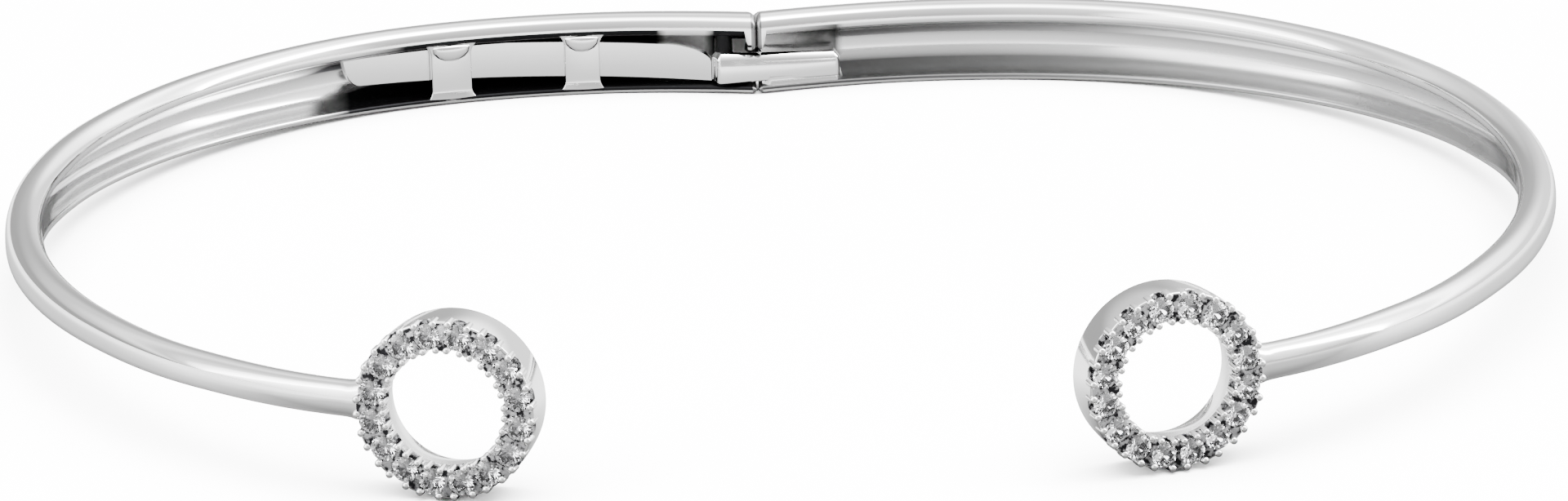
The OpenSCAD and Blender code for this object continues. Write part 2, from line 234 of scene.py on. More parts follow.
def raised(outline: np.ndarray, low: float, high: float, bevel: float, slope: float = 0.0) -> Shell:
    """Raises a flat outline into a plate with softened edges.

    Args:
        outline: Rows of x and y, anticlockwise.
        low: Height of the plate's underside.
        high: Height of its top.
        bevel: Size of the softened edges.
        slope: Depth of a straight slope above, in place of the soft edge.

    Returns:
        A closed shell.
    """
    edges = (outline - np.roll(outline, 1, 0), np.roll(outline, -1, 0) - outline)
    inward = sum(np.stack([-v[:, 1], v[:, 0]], -1) / np.linalg.norm(v, axis=1)[:, None] for v in edges)
    inward /= np.maximum(np.linalg.norm(inward, axis=1), TINY)[:, None]
    levels = quarter(bevel, low + bevel, bevel, 180, 5)[::-1]
    if slope:
        foot = high - 1.05 * slope
        levels += [(0.0, foot - 0.04), (0.012, foot - 0.005), (0.035, foot + 0.03)]
        levels += [(slope - 0.03, high - 0.03), (slope, high - 0.008), (slope + 0.02, high)]
    else:
        levels += quarter(bevel, high - bevel, bevel, 90, 5)[::-1]
    rings = [np.column_stack([outline + inward * inset, np.full(len(outline), z)]) for inset, z in levels]
    return sweep(np.array(rings))


def superellipse(angle: np.ndarray, fullness: float) -> tuple[np.ndarray, np.ndarray]:
    """Works out a superellipse.

    Args:
        angle: Angles, in radians.
        fullness: How full it is, 2 for an ellipse.

    Returns:
        The shares across and up.
    """
    c = np.where(np.abs(np.cos(angle)) < TINY, 0, np.cos(angle))
    s = np.sin(angle)
    return tuple(np.sign(v) * np.abs(v) ** (2 / fullness) for v in (c, s))


def smooth_step(value: np.ndarray) -> np.ndarray:
    """Returns 0 below 0, 1 above 1 and an even curve between them."""
    t = np.clip(value, 0, 1)
    return t * t * (3 - 2 * t)


@dataclass(frozen=True)
class Lie:
    """How the bangle lies on its side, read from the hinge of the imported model.

    Args:
        lean: Angle by which it leans forward on its rings, in radians.
        lift: Height of its middle plane above the floor at the origin, in millimetres.
    """

    lean: float
    lift: float

    @classmethod
    def from_joint(cls, joint: dict) -> "Lie":
        """Works the lie out from the hinge.

        Args:
            joint: The frame's entry, with the hinge's axis and place.

        Returns:
            The lie.
        """
        lean = math.atan2(joint["axis"][1], joint["axis"][2])
        _, y, z = (v / MM for v in joint["pos_m"])
        return cls(lean, z + y * math.tan(lean))

    @property
    def matrix(self) -> Matrix:
        """The matrix from upright millimetres to the frame's metres."""
        turn = Matrix.Translation((0, 0, self.lift)) @ Matrix.Rotation(-self.lean, 4, "X")
        return Matrix.Scale(MM, 4) @ turn


@dataclass(frozen=True)
class Bench:
    """Turns shells into objects of the scene and carves them.

    Args:
        lie: The lie that every object takes.
    """

    lie: Lie

    def make(
        self, name: str, shell: Shell, side: Side, materials: list[bpy.types.Material]
    ) -> bpy.types.Object:
        """Makes an object from a shell of the right arm, mirrored for the left one.

        Args:
            name: Name of the object.
            shell: Its shape in millimetres.
            side: The half that it belongs to.
            materials: Its finishes, one for each skin.

        Returns:
            The object, in place.
        """
        mirror = Matrix.Diagonal((-1 if side is Side.LEFT else 1, 1, 1, 1))
        placed = shell.moved(self.lie.matrix @ mirror)
        mesh = bpy.data.meshes.new(name)
        mesh.from_pydata(placed.points.tolist(), [], placed.faces)
        for material in materials:
            mesh.materials.append(material)
        mesh.polygons.foreach_set("material_index", placed.skins)
        self.tidy(mesh)
        piece = bpy.data.objects.new(name, mesh)
        bpy.context.scene.collection.objects.link(piece)
        return piece

    @staticmethod
    def tidy(mesh: bpy.types.Mesh) -> None:
        """Welds doubled corners and turns every face outward.

        Args:
            mesh: The mesh that changes.
        """
        work = bmesh.new()
        work.from_mesh(mesh)
        bmesh.ops.remove_doubles(work, verts=work.verts, dist=2e-7)
        bmesh.ops.dissolve_degenerate(work, edges=work.edges, dist=1e-8)
        bmesh.ops.recalc_face_normals(work, faces=work.faces)
        work.to_mesh(mesh)
        work.free()

    def carve(self, base: bpy.types.Object, tool: Shell, side: Side, how: Carve) -> None:
        """Joins a shell to an object or cuts it away.

        Args:
            base: The object that changes.
            tool: The shell that works on it.
            side: The half that the tool belongs to.
            how: Join or cut.
        """
        other = self.make(f"{base.name}_tool", tool, side, list(base.data.materials))
        step = base.modifiers.new("carve", "BOOLEAN")
        step.operation = how.value
        step.solver = "MANIFOLD"
        step.object = other
        step.material_mode = "INDEX"
        graph = bpy.context.evaluated_depsgraph_get()
        graph.update()
        used = (base.data, other.data)
        mesh = bpy.data.meshes.new_from_object(base.evaluated_get(graph))
        base.modifiers.clear()
        base.data = mesh
        bpy.data.objects.remove(other)
        for old in used:
            bpy.data.meshes.remove(old)

    @staticmethod
    def finish(piece: bpy.types.Object, side: Side, slot: str, sharp: float) -> None:
        """Smooths a piece and lets it ride.

        Args:
            piece: The object.
            side: The half that it rides on.
            slot: The record's material slot, not used.
            sharp: Angle in degrees above which an edge stays crisp.
        """
        piece.data.shade_smooth()
        piece.data.set_sharp_from_angle(angle=math.radians(sharp))
        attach(piece, side.body)
        LOG.info("%s: %d faces", piece.name, len(piece.data.polygons))


@dataclass(frozen=True)
class Plan:
    """The line of an arm seen from above, and its taper. Lengths in millimetres.

    Bearings are in degrees and start at the joint.

    Args:
        inner_width: Width of the hollow.
        inner_depth: Depth of the hollow's curve.
        reach_step: Bearing between two entries of reach.
        reach: Distance of the wrist side, as shares of the ellipse of width by depth.
        taper_step: Bearing between two entries of the taper's columns.
        height_share: Share of the height left above the tip's value.
        thickness_share: Share of the thickness left above the tip's value.
    """

    inner_width: float = 59.0
    inner_depth: float = 48.0
    reach_step: float = 15.0
    reach: tuple[float, ...] = (
        0.955, 1.028, 1.070, 1.062, 1.036, 1.011, 1.000, 1.010, 1.041, 1.088, 1.118, 1.060,
    )
    taper_step: float = 30.0
    height_share: tuple[float, ...] = (1.0, 0.99, 0.70, 0.28, 0.06, 0.0, 0.0)
    thickness_share: tuple[float, ...] = (1.0, 0.80, 0.44, 0.22, 0.08, 0.0, 0.0)

    @staticmethod
    def curve(table: tuple[float, ...], step: float, bearing: np.ndarray) -> np.ndarray:
        """Draws a smooth curve through a table, mirrored before its start and held at its end.

        Args:
            table: The values.
            step: Bearing between two of them.
            bearing: Where the curve is read.

        Returns:
            A value for each bearing.
        """
        values = np.array(table)
        place = np.asarray(bearing, float) / step
        start = np.floor(place).astype(int)
        t = place - start
        knots = []
        for i in (start - 1, start, start + 1, start + 2):
            before, inside = (values[np.clip(k, 0, len(values) - 1)] for k in (-i, i))
            knots.append(np.where(i < 0, 2 * values[0] - before, inside))
        p0, p1, p2, p3 = knots
        square = 2 * p0 - 5 * p1 + 4 * p2 - p3
        cube = 3 * p1 - p0 - 3 * p2 + p3
        return 0.5 * (2 * p1 + (p2 - p0) * t + square * t**2 + cube * t**3)

    def point(self, bearing: np.ndarray) -> tuple[np.ndarray, np.ndarray]:
        """Returns x and y of the wrist side at a bearing.

        Args:
            bearing: Bearing from the hinge.

        Returns:
            Arrays of x and y.
        """
        reach = self.curve(self.reach, self.reach_step, bearing)
        turn = np.radians(bearing)
        return self.inner_width / 2 * reach * np.sin(turn), self.inner_depth / 2 * reach * np.cos(turn)

    def along(self, bearing: np.ndarray) -> tuple[np.ndarray, np.ndarray]:
        """Returns the direction along the arm at a bearing.

        Args:
            bearing: Bearing from the hinge.

        Returns:
            The direction's x and y.
        """
        x0, y0 = self.point(bearing - 0.5)
        x1, y1 = self.point(bearing + 0.5)
        length = np.hypot(x1 - x0, y1 - y0)
        return (x1 - x0) / length, (y1 - y0) / length

    def at(self, bearing: np.ndarray, depth: np.ndarray) -> tuple[np.ndarray, np.ndarray]:
        """Returns a place a given depth outside the wrist side.

        Args:
            bearing: Bearing from the hinge.
            depth: Depth outside the wrist side.

        Returns:
            Arrays of x and y.
        """
        x, y = self.point(bearing)
        tx, ty = self.along(bearing)
        return x - ty * depth, y + tx * depth

    def bearing_after(self, length: np.ndarray) -> np.ndarray:
        """Turns a length along the wrist side from the joint into a bearing.

        Args:
            length: The length, less than 0 before the joint.

        Returns:
            The bearing of each length.
        """
        bearings = np.linspace(-6, 165, 6841)
        x, y = self.point(bearings)
        run = np.concatenate([[0], np.cumsum(np.hypot(np.diff(x), np.diff(y)))])
        return np.interp(length, run - np.interp(0, bearings, run), bearings)

    def length_to(self, bearing: float) -> float:
        """Returns the length along the wrist side from the joint to a bearing."""
        x, y = self.point(np.linspace(0, bearing, 2000))
        return float(np.hypot(np.diff(x), np.diff(y)).sum())

    def row(self, length: float | np.ndarray, depth: Numbers, level: Numbers) -> np.ndarray:
        """Places the points of one line across the arm.

        Args:
            length: Length along the wrist side from the joint, one for all or one for each point.
            depth: Depth of each point outside the wrist side.
            level: Height of each point.

        Returns:
            Rows of x, y and z.
        """
        bearing = self.bearing_after(np.broadcast_to(length, len(depth)))
        return np.column_stack([*self.at(bearing, np.array(depth)), level])


@dataclass(frozen=True)
class Section:
    """The cross-section of an arm. Lengths in millimetres.

    Args:
        plan: The line of the arm.
        band_height: Height at the hinge.
        band_thickness: Thickness at the hinge.
        tip_height: Height at the ring.
        tip_thickness: Thickness at the ring.
        fullness: How full the domed outside is, 2 for an ellipse.
        edge_round: Height of the rounded edges beside the wrist.
        edge_deep: Depth of the upper one.
        low_round: Rounding of the lower edge beside the channel.
        inner_crown: Crown of the slim part's wrist side.
        lip_height: Mean height of the lips beside the channel.
        lip_round: Rounding of the lower lip's edge beside the channel.
        bead_round: The same for the upper lip.
        channel_drop: How far the channel lies below the middle.
        wall: Wall behind the channel.
        channel_fullness: How full the channel is.
        channel_bearing: Bearing at which the channel begins to run out.
        channel_runout: Angle over which it runs out.
        collar_length: Length of the collar beside the joint.
        collar_depth: How far the collar reaches down.
        collar_blend: Length over which the collar's end is rounded.
        dome_steps: Steps round the outside.
        edge_steps: Steps round an edge.
    """

    plan: Plan = field(default_factory=Plan)
    band_height: float = 3.3
    band_thickness: float = 2.0
    tip_height: float = 1.42
    tip_thickness: float = 1.3
    fullness: float = 2.6
    edge_round: float = 0.5
    edge_deep: float = 0.62
    low_round: float = 0.15
    inner_crown: float = 0.1
    lip_height: float = 0.58
    lip_round: float = 0.1
    bead_round: float = 0.27
    channel_drop: float = 0.29
    wall: float = 0.45
    channel_fullness: float = 2.4
    channel_bearing: float = 70.0
    channel_runout: float = 24.0
    collar_length: float = 0.42
    collar_depth: float = 0.6
    collar_blend: float = 0.12
    dome_steps: int = 44
    edge_steps: int = 7

    @property
    def count(self) -> int:
        """Number of points on the outer line, and as many on the hollow line."""
        return self.dome_steps + 1 + 2 * self.edge_steps

    def height(self, bearing: np.ndarray) -> np.ndarray:
        """Returns the height of the arm at a bearing."""
        share = self.plan.curve(self.plan.height_share, self.plan.taper_step, bearing)
        return self.tip_height + (self.band_height - self.tip_height) * share

    def thickness(self, bearing: np.ndarray) -> np.ndarray:
        """Returns the thickness of the arm at a bearing."""
        share = self.plan.curve(self.plan.thickness_share, self.plan.taper_step, bearing)
        return self.tip_thickness + (self.band_thickness - self.tip_thickness) * share

    def channel_share(self, bearing: np.ndarray) -> np.ndarray:
        """Returns 1 where the channel is whole and 0 past its end."""
        return 1 - smooth_step((bearing - self.channel_bearing) / self.channel_runout)

    def line(
        self, fullness: float, deep: np.ndarray, low: tuple[np.ndarray, ...], high: tuple[np.ndarray, ...]
    ) -> tuple[np.ndarray, np.ndarray]:
        """Draws a line from a rounded lower edge over a dome to a rounded upper edge.

        Args:
            fullness: How full the dome is.
            deep: Depth of the dome.
            low: The lower edge's distance from the middle, and its rounding's depth and height.
            high: The same for the upper edge. A height less than 0 rounds away from the middle.

        Returns:
            Arrays of depth and height.
        """
        turn = np.radians(np.linspace(0, 90, self.edge_steps + 1)[:-1])
        across, up = superellipse(np.radians(np.linspace(-90, 90, self.dome_steps + 1)), fullness)
        edge = np.ones(self.edge_steps)
        domed = np.concatenate([0 * edge, across, 0 * edge])
        sunk = np.concatenate([1 - np.cos(turn), 1 - across, 1 - np.cos(turn[::-1])])
        place = np.concatenate([-edge, up, edge])
        cut = np.concatenate([np.sin(turn) - 1, 0 * up, 1 - np.sin(turn[::-1])])
        reach, depth, height = (np.where(place > 0, upper, lower) for lower, upper in zip(low, high))
        return depth * sunk + deep * domed, reach * place - height * cut

    def outer(self, bearing: np.ndarray, grow: np.ndarray) -> tuple[np.ndarray, np.ndarray]:
        """Draws the outer line, from the lower wrist edge to the upper one.

        Args:
            bearing: Bearings, stations by points.
            grow: How much the section is swollen at each station, in millimetres.

        Returns:
            Arrays of depth and height.
        """
        half = self.height(bearing) / 2 + grow
        edge = self.edge_round
        low = edge + (self.low_round - edge) * self.channel_share(bearing)
        deep = self.thickness(bearing) + grow
        return self.line(self.fullness, deep, (half, low, low), (half, self.edge_deep, edge))

    def hollow(self, bearing: np.ndarray, x: np.ndarray) -> tuple[np.ndarray, np.ndarray]:
        """Draws the channel's line, from the lower lip to the upper one.

        Args:
            bearing: Bearings, stations by points.
            x: Distance of each point beside the joint, for the collar.

        Returns:
            Arrays of depth and height.
        """
        share = self.channel_share(bearing)
        mouth = self.height(bearing) / 2 - self.lip_height
        collar = self.collar_depth * (1 - smooth_step((x - self.collar_length) / self.collar_blend + 0.5))
        deep = (self.thickness(bearing) - self.wall) * share - self.inner_crown * (1 - share)
        lip, bead = (size * share + SMALL for size in (self.lip_round, self.bead_round))
        low, high = (mouth, lip * share, -lip), (mouth - collar, bead * share, -bead)
        depth, level = self.line(self.channel_fullness, deep, low, high)
        return depth, level - self.channel_drop * share


@dataclass(frozen=True)
class FrontRing:
    """A front ring with its seats, scallops and prongs. Lengths in millimetres.

    Its own frame has Z out of the stone face and the ring's back at height 0.

    Args:
        spacing: Distance between the middles of the two rings.
        diameter: Outside diameter.
        hole: Diameter of the hole.
        depth: Depth from the back to the stone face.
        turn: Angle by which the stone face is turned away from the front, in degrees.
        solder: How far the arm's end is sunk in the ring.
        back_room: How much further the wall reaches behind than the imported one.
        back_draw: How much slimmer the wall is at its back.
        face_draw: How much slimmer it is beside the stone face.
        inner_wall: Depth of the hole's straight wall behind the stone face.
        flare: How much wider the hole is at the ring's back.
        rim: Softened edge round the stone face.
        stones: Number of stones.
        stone: Diameter of a stone.
        clearance: Clearance between a stone and its seat.
        girdle_drop: How far the girdle lies below the face.
        light_hole: Diameter of the hole behind each stone.
        scallop: Diameter of the round cut beside each stone.
        scallop_flare: How much wider the cut is where it leaves the ring.
        scallop_reach: Length over which it widens.
        outer_prong: Diameter of an outer prong.
        inner_prong: Diameter of an inner prong.
        prong_overhang: Share of a prong's diameter by which it stands in from the ring's edge.
        prong_rise: Height of a prong above the face.
        prong_root: Length of a prong below the face.
        prong_pair: Angle between the two prongs of a pair, in degrees.
        segments: Steps round the ring.
    """

    spacing: float = 27.4
    diameter: float = 7.1
    hole: float = 4.6
    depth: float = 1.8
    turn: float = 16.5
    solder: float = 0.35
    back_room: float = 0.4
    back_draw: float = 0.08
    face_draw: float = 0.03
    inner_wall: float = 0.55
    flare: float = 0.3
    rim: float = 0.07
    stones: int = 16
    stone: float = 1.04
    clearance: float = 0.03
    girdle_drop: float = 0.08
    light_hole: float = 0.5
    scallop: float = 0.72
    scallop_flare: float = 0.07
    scallop_reach: float = 0.08
    outer_prong: float = 0.3
    inner_prong: float = 0.27
    prong_overhang: float = 0.38
    prong_rise: float = 0.2
    prong_root: float = 0.45
    prong_pair: float = 9.8
    segments: int = 256

    @property
    def seat_radius(self) -> float:
        """Radius of the circle on which the stones sit."""
        return (self.diameter + self.hole) / 4

    def centre_from(self, section: Section, bearing: float) -> tuple[float, float]:
        """Finds the ring's middle for an arm that ends at a bearing.

        Args:
            section: The arm's cross-section and plan.
            bearing: Where the arm ends.

        Returns:
            The middle's x and y.
        """
        b = np.array(bearing)
        x, y = section.plan.at(b, section.thickness(b) / 2)
        reach = self.diameter / 2 - self.solder
        turn = math.radians(self.turn)
        return float(x) - reach * math.cos(turn), float(y) - reach * math.sin(turn)

    def tip_bearing(self, section: Section) -> float:
        """Finds the bearing at which the arm ends, so that the rings have their spacing.

        Args:
            section: The arm's cross-section and plan.

        Returns:
            The bearing, in degrees.
        """
        low, high = 110.0, 164.0
        for _ in range(30):
            middle = (low + high) / 2
            if self.centre_from(section, middle)[0] > self.spacing / 2:
                low = middle
            else:
                high = middle
        return (low + high) / 2

    def matrix(self, section: Section) -> Matrix:
        """Works out how the ring stands at the arm's end.

        Args:
            section: The arm's cross-section and plan.

        Returns:
            The matrix from the ring's own frame to the right arm's.
        """
        x, y = self.centre_from(section, self.tip_bearing(section))
        turn = Matrix.Rotation(math.radians(self.turn), 4, "Z") @ Matrix.Rotation(math.pi / 2, 4, "X")
        return Matrix.Translation((x, y, 0)) @ turn @ Matrix.Translation((0, 0, -self.depth / 2))

    def blank(self) -> Shell:
        """Turns the ring: a drawn outside, a hole that flares to the back and soft rims.

        Returns:
            The ring, with the seats' painted shade on its stone face.
        """
        outer, hole, rim = self.diameter / 2, self.hole / 2, self.rim
        foot = -self.back_room
        top = self.depth - rim
        back_rim = 2 * rim
        outside = quarter(outer - self.back_draw - back_rim, foot + back_rim, back_rim, -90)
        for share in np.linspace(0, 1, 41)[1:-1]:
            draw = self.back_draw * (1 - share) ** 2.2 + self.face_draw * share**3
            outside.append((outer - draw, foot + back_rim + (top - back_rim - foot) * share))
        outside += quarter(outer - self.face_draw - rim, top, rim, 0)
        knee = self.depth - self.inner_wall
        inside = quarter(hole + rim, top, rim, 90)
        inside += [(hole, knee + rim), (hole + 0.02, knee), (hole + 0.08, knee - 1.5 * rim)]
        inside += quarter(hole + self.flare + rim, foot + rim, rim, 180)
        shell = revolve(outside + inside, self.segments, closed=True)
        face = (len(outside) - 1) * self.segments
        # Painted shade: the stone face between the stones takes the dark seat finish.
        shell.skins[face:face + self.segments] = [Skin.SEAT_SHADE.value] * self.segments
        return shell

    def each_stone(self, shell: Shell) -> Shell:
        """Repeats a shell at every stone's girdle.

        Args:
            shell: The shell for one stone.

        Returns:
            All of them in one shell.
        """
        lift = Matrix.Translation((self.seat_radius, 0, self.depth - self.girdle_drop))
        turns = [math.radians(90 - 360 * (i + 0.5) / self.stones) for i in range(self.stones)]
        return join_all([shell.moved(Matrix.Rotation(turn, 4, "Z") @ lift) for turn in turns])

    def scallops(self) -> Shell:
        """Makes the round cuts beside the stones, flared where they leave the ring.

        Returns:
            All the cuts in one shell.
        """
        radius = self.scallop / 2
        wide = radius + self.scallop_flare
        between = (radius + self.scallop_flare / 3, self.scallop_reach / 3)
        past = 0.3
        half = [(0, -past), (wide, -past), (wide, 0), between, (radius, self.scallop_reach)]
        inner, outer = (d / 2 - self.seat_radius for d in (self.hole, self.diameter))
        profile = [(r, inner + z) for r, z in half] + [(r, outer - z) for r, z in half[::-1]]
        cut = revolve(profile, 32).moved(Matrix.Rotation(math.pi / 2, 4, "Y"))
        # Painted shade: the scallops' cut faces take the dark seat finish, which outlines them.
        return self.each_stone(cut.finished(Skin.SEAT_SHADE))

    def seats(self) -> Shell:
        """Makes the room of all the stones: light hole, pavilion, girdle and crown.

        Returns:
            All the seats in one shell.
        """
        gap = self.clearance
        radius = self.stone / 2 + gap
        girdle = GIRDLE_SHARE * self.stone / 2
        low = -PAVILION_SHARE * self.stone - 2 * gap
        slope = (-girdle - gap - low) / radius
        hole = self.light_hole / 2
        back = self.girdle_drop - self.depth - self.back_room
        table = TABLE_SHARE * self.stone / 2 + 2 * gap
        top = girdle + CROWN_SHARE * self.stone
        profile = [
            (0, back - 0.2), (hole + 0.1, back - 0.2), (hole + 0.06, back), (hole, back + 0.06),
            (hole, low + slope * hole), (radius, -girdle - gap), (radius, girdle + gap),
            (table, top + 2 * gap), (table, top + self.prong_rise), (0, top + self.prong_rise),
        ]
        # Painted shade: every seat takes the dark seat finish.
        return self.each_stone(revolve(profile, 40).finished(Skin.SEAT_SHADE))

    def prong(self, diameter: float) -> Shell:
        """Makes one prong with a beaded tip.

        Args:
            diameter: Its diameter.

        Returns:
            The prong, on the ring's axis.
        """
        radius = diameter / 2
        bead = 0.8 * radius
        shoulder = self.depth + self.prong_rise - bead
        tip = [(radius * c, shoulder + bead * s) for c, s in quarter(0, 0, 1, 0, 5)[:-1]]
        root = self.depth - self.prong_root
        return revolve([(0, root), (radius, root)] + tip + [(0, shoulder + bead)], 20)

    def prongs(self) -> Shell:
        """Makes all the prongs, in pairs between the stones.

        Returns:
            All of them in one shell.
        """
        outer = Matrix.Translation((self.diameter / 2 - self.prong_overhang * self.outer_prong, 0, 0))
        inner = Matrix.Translation((self.hole / 2 + self.prong_overhang * self.inner_prong, 0, 0))
        kinds = [self.prong(self.outer_prong).moved(outer), self.prong(self.inner_prong).moved(inner)]
        copies = []
        for i in range(self.stones):
            for side in (-1, 1):
                turn = math.radians(90 - 360 * i / self.stones + side * self.prong_pair / 2)
                copies += [shell.moved(Matrix.Rotation(turn, 4, "Z")) for shell in kinds]
        return join_all(copies)


@dataclass(frozen=True)
class Hinge:
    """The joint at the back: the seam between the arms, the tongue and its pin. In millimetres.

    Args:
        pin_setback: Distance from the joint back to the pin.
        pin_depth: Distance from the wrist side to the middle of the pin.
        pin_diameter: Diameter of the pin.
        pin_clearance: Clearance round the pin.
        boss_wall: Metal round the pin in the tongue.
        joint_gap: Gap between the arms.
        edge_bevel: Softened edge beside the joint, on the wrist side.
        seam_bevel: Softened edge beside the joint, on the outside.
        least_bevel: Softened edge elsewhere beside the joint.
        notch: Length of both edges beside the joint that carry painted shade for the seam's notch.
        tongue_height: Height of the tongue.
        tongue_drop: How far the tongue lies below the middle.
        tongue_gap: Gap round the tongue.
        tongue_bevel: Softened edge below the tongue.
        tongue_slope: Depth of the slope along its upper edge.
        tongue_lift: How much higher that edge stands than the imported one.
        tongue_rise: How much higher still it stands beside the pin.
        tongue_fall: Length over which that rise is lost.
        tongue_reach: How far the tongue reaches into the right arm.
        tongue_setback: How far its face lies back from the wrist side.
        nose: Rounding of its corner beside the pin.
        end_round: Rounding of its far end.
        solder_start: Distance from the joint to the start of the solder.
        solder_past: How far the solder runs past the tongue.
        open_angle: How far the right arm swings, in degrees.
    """

    pin_setback: float = 1.3
    pin_depth: float = 0.85
    pin_diameter: float = 0.7
    pin_clearance: float = 0.03
    boss_wall: float = 0.15
    joint_gap: float = 0.09
    edge_bevel: float = 0.2
    seam_bevel: float = 0.26
    least_bevel: float = 0.02
    notch: float = 0.15
    tongue_height: float = 1.0
    tongue_drop: float = 0.7
    tongue_gap: float = 0.05
    tongue_bevel: float = 0.07
    tongue_slope: float = 0.22
    tongue_lift: float = 0.06
    tongue_rise: float = 0.21
    tongue_fall: float = 1.2
    tongue_reach: float = 3.5
    tongue_setback: float = 0.1
    nose: float = 0.22
    end_round: float = 0.25
    solder_start: float = 0.36
    solder_past: float = 0.25
    open_angle: float = 32.0

    @property
    def boss(self) -> float:
        """Radius of the tongue's boss round the pin."""
        return self.pin_diameter / 2 + self.pin_clearance + self.boss_wall

    def pin_y(self, plan: Plan) -> float:
        """Returns the place of the pin along the depth of the bangle."""
        return float(plan.point(np.array(0.0))[1]) + self.pin_depth

    def start(self, side: Side, plan: Plan, depth: np.ndarray) -> np.ndarray:
        """Works out how far along an arm its end lies at each depth.

        Args:
            side: The left arm ends in a round knuckle, the right one in a hollow round it.
            plan: The line of the arm.
            depth: Depth of each point from the wrist side.

        Returns:
            Distances in millimetres, measured along that arm's wrist side.
        """
        hand, gap = (1, 0) if side is Side.LEFT else (-1, self.joint_gap)
        radius = self.pin_setback + gap
        length = np.zeros_like(depth)
        for _ in range(16):
            x, y = plan.at(plan.bearing_after(length), depth)
            above = np.clip(y - self.pin_y(plan), 0, 0.96 * radius)
            length = length + hand * (self.pin_setback - np.sqrt(radius**2 - above**2)) - x
        return length

    def tongue_turn(self, plan: Plan) -> float:
        """Returns the angle by which the tongue follows the right arm's wrist side."""
        x, y = plan.point(plan.bearing_after(np.array([self.tongue_reach, 0.0])))
        return math.atan2(y[0] - y[1], x[0] + self.pin_setback)

    def tongue(self, section: Section) -> Shell:
        """Makes the tongue: a rounded boss and a plate with softened edges.

        Args:
            section: The arm's cross-section and plan.

        Returns:
            The tongue, on the right arm.
        """
        turn = self.tongue_turn(section.plan)
        swing = math.radians(self.open_angle) + turn
        face = self.tongue_setback - self.pin_depth
        floor = section.band_thickness - section.wall - self.pin_depth - SMALL
        edge = self.pin_setback + self.joint_gap
        knee = self.boss / math.cos(swing) - edge * math.tan(swing)
        reach = self.tongue_reach + self.pin_setback
        turns = np.linspace(math.pi / 2 - swing, math.radians(215), 28)
        outline = [(self.boss * math.cos(a), self.boss * math.sin(a)) for a in turns]
        outline += quarter(-self.nose, face + self.nose, self.nose, 180, 6)[1:]
        outline += quarter(reach - self.end_round, face + self.end_round, self.end_round, -90, 3)
        outline += [(reach, floor), (edge, floor), (edge, knee)]
        low, high = (self.tongue_height / 2 * side - self.tongue_drop for side in (-1, 1))
        plate = raised(np.array(outline), low, high, self.tongue_bevel, self.tongue_slope)
        near = 1 - smooth_step((plate.points[:, 0] - self.pin_setback) / self.tongue_fall)
        upper = plate.points[:, 2] > -self.tongue_drop
        plate.points[:, 2] += upper * (self.tongue_lift + self.tongue_rise * near)
        pin = Matrix.Translation((-self.pin_setback, self.pin_y(section.plan), 0))
        return plate.moved(pin @ Matrix.Rotation(turn, 4, "Z"))

    def solder(self, section: Section) -> Shell:
        """Makes the solder that joins the tongue's lower edge to the right arm's lower lip.

        Args:
            section: The arm's cross-section and plan.

        Returns:
            The solder, on the right arm.
        """
        lengths = np.linspace(self.solder_start, self.tongue_reach + self.solder_past, 40)
        fills = smooth_step(np.minimum(lengths - lengths[0], lengths[-1] - lengths) / 0.3)
        top = -self.tongue_drop - self.tongue_height / 2 + 0.16
        half = section.height(section.plan.bearing_after(lengths)) / 2
        rows = []
        for length, fill, lip in zip(lengths, fills, section.lip_height - half - section.channel_drop):
            front = self.tongue_setback + 0.04 + 0.3 * (1 - fill)
            line = [
                (front, top * fill + (lip + 0.04) * (1 - fill)), (front + 0.02, (top + lip) / 2),
                (front - 0.05 * fill, lip - 0.02), (front + 0.5, lip - 0.05), (front + 0.5, top - 0.02),
            ]
            rows.append(section.plan.row(length, *zip(*line)))
        return sweep(np.array(rows))

    def tongue_room(self, section: Section) -> Shell:
        """Makes the slot in the left arm in which the tongue turns, on the mirrored right arm, with painted
        shade on its faces.

        Args:
            section: The arm's cross-section and plan.

        Returns:
            The slot.
        """
        half = self.tongue_height / 2 + self.tongue_gap
        width = self.boss + self.tongue_gap
        past = -3.0
        outline = np.array([[past, past], [width, past], [width, width], [past, width]])
        high = half - self.tongue_drop + self.tongue_lift + self.tongue_rise
        # Painted shade on the slot's faces.
        block = raised(outline, -half - self.tongue_drop, high, self.least_bevel).finished(Skin.SHADE)
        return block.moved(Matrix.Translation((self.pin_setback, self.pin_y(section.plan), 0)))


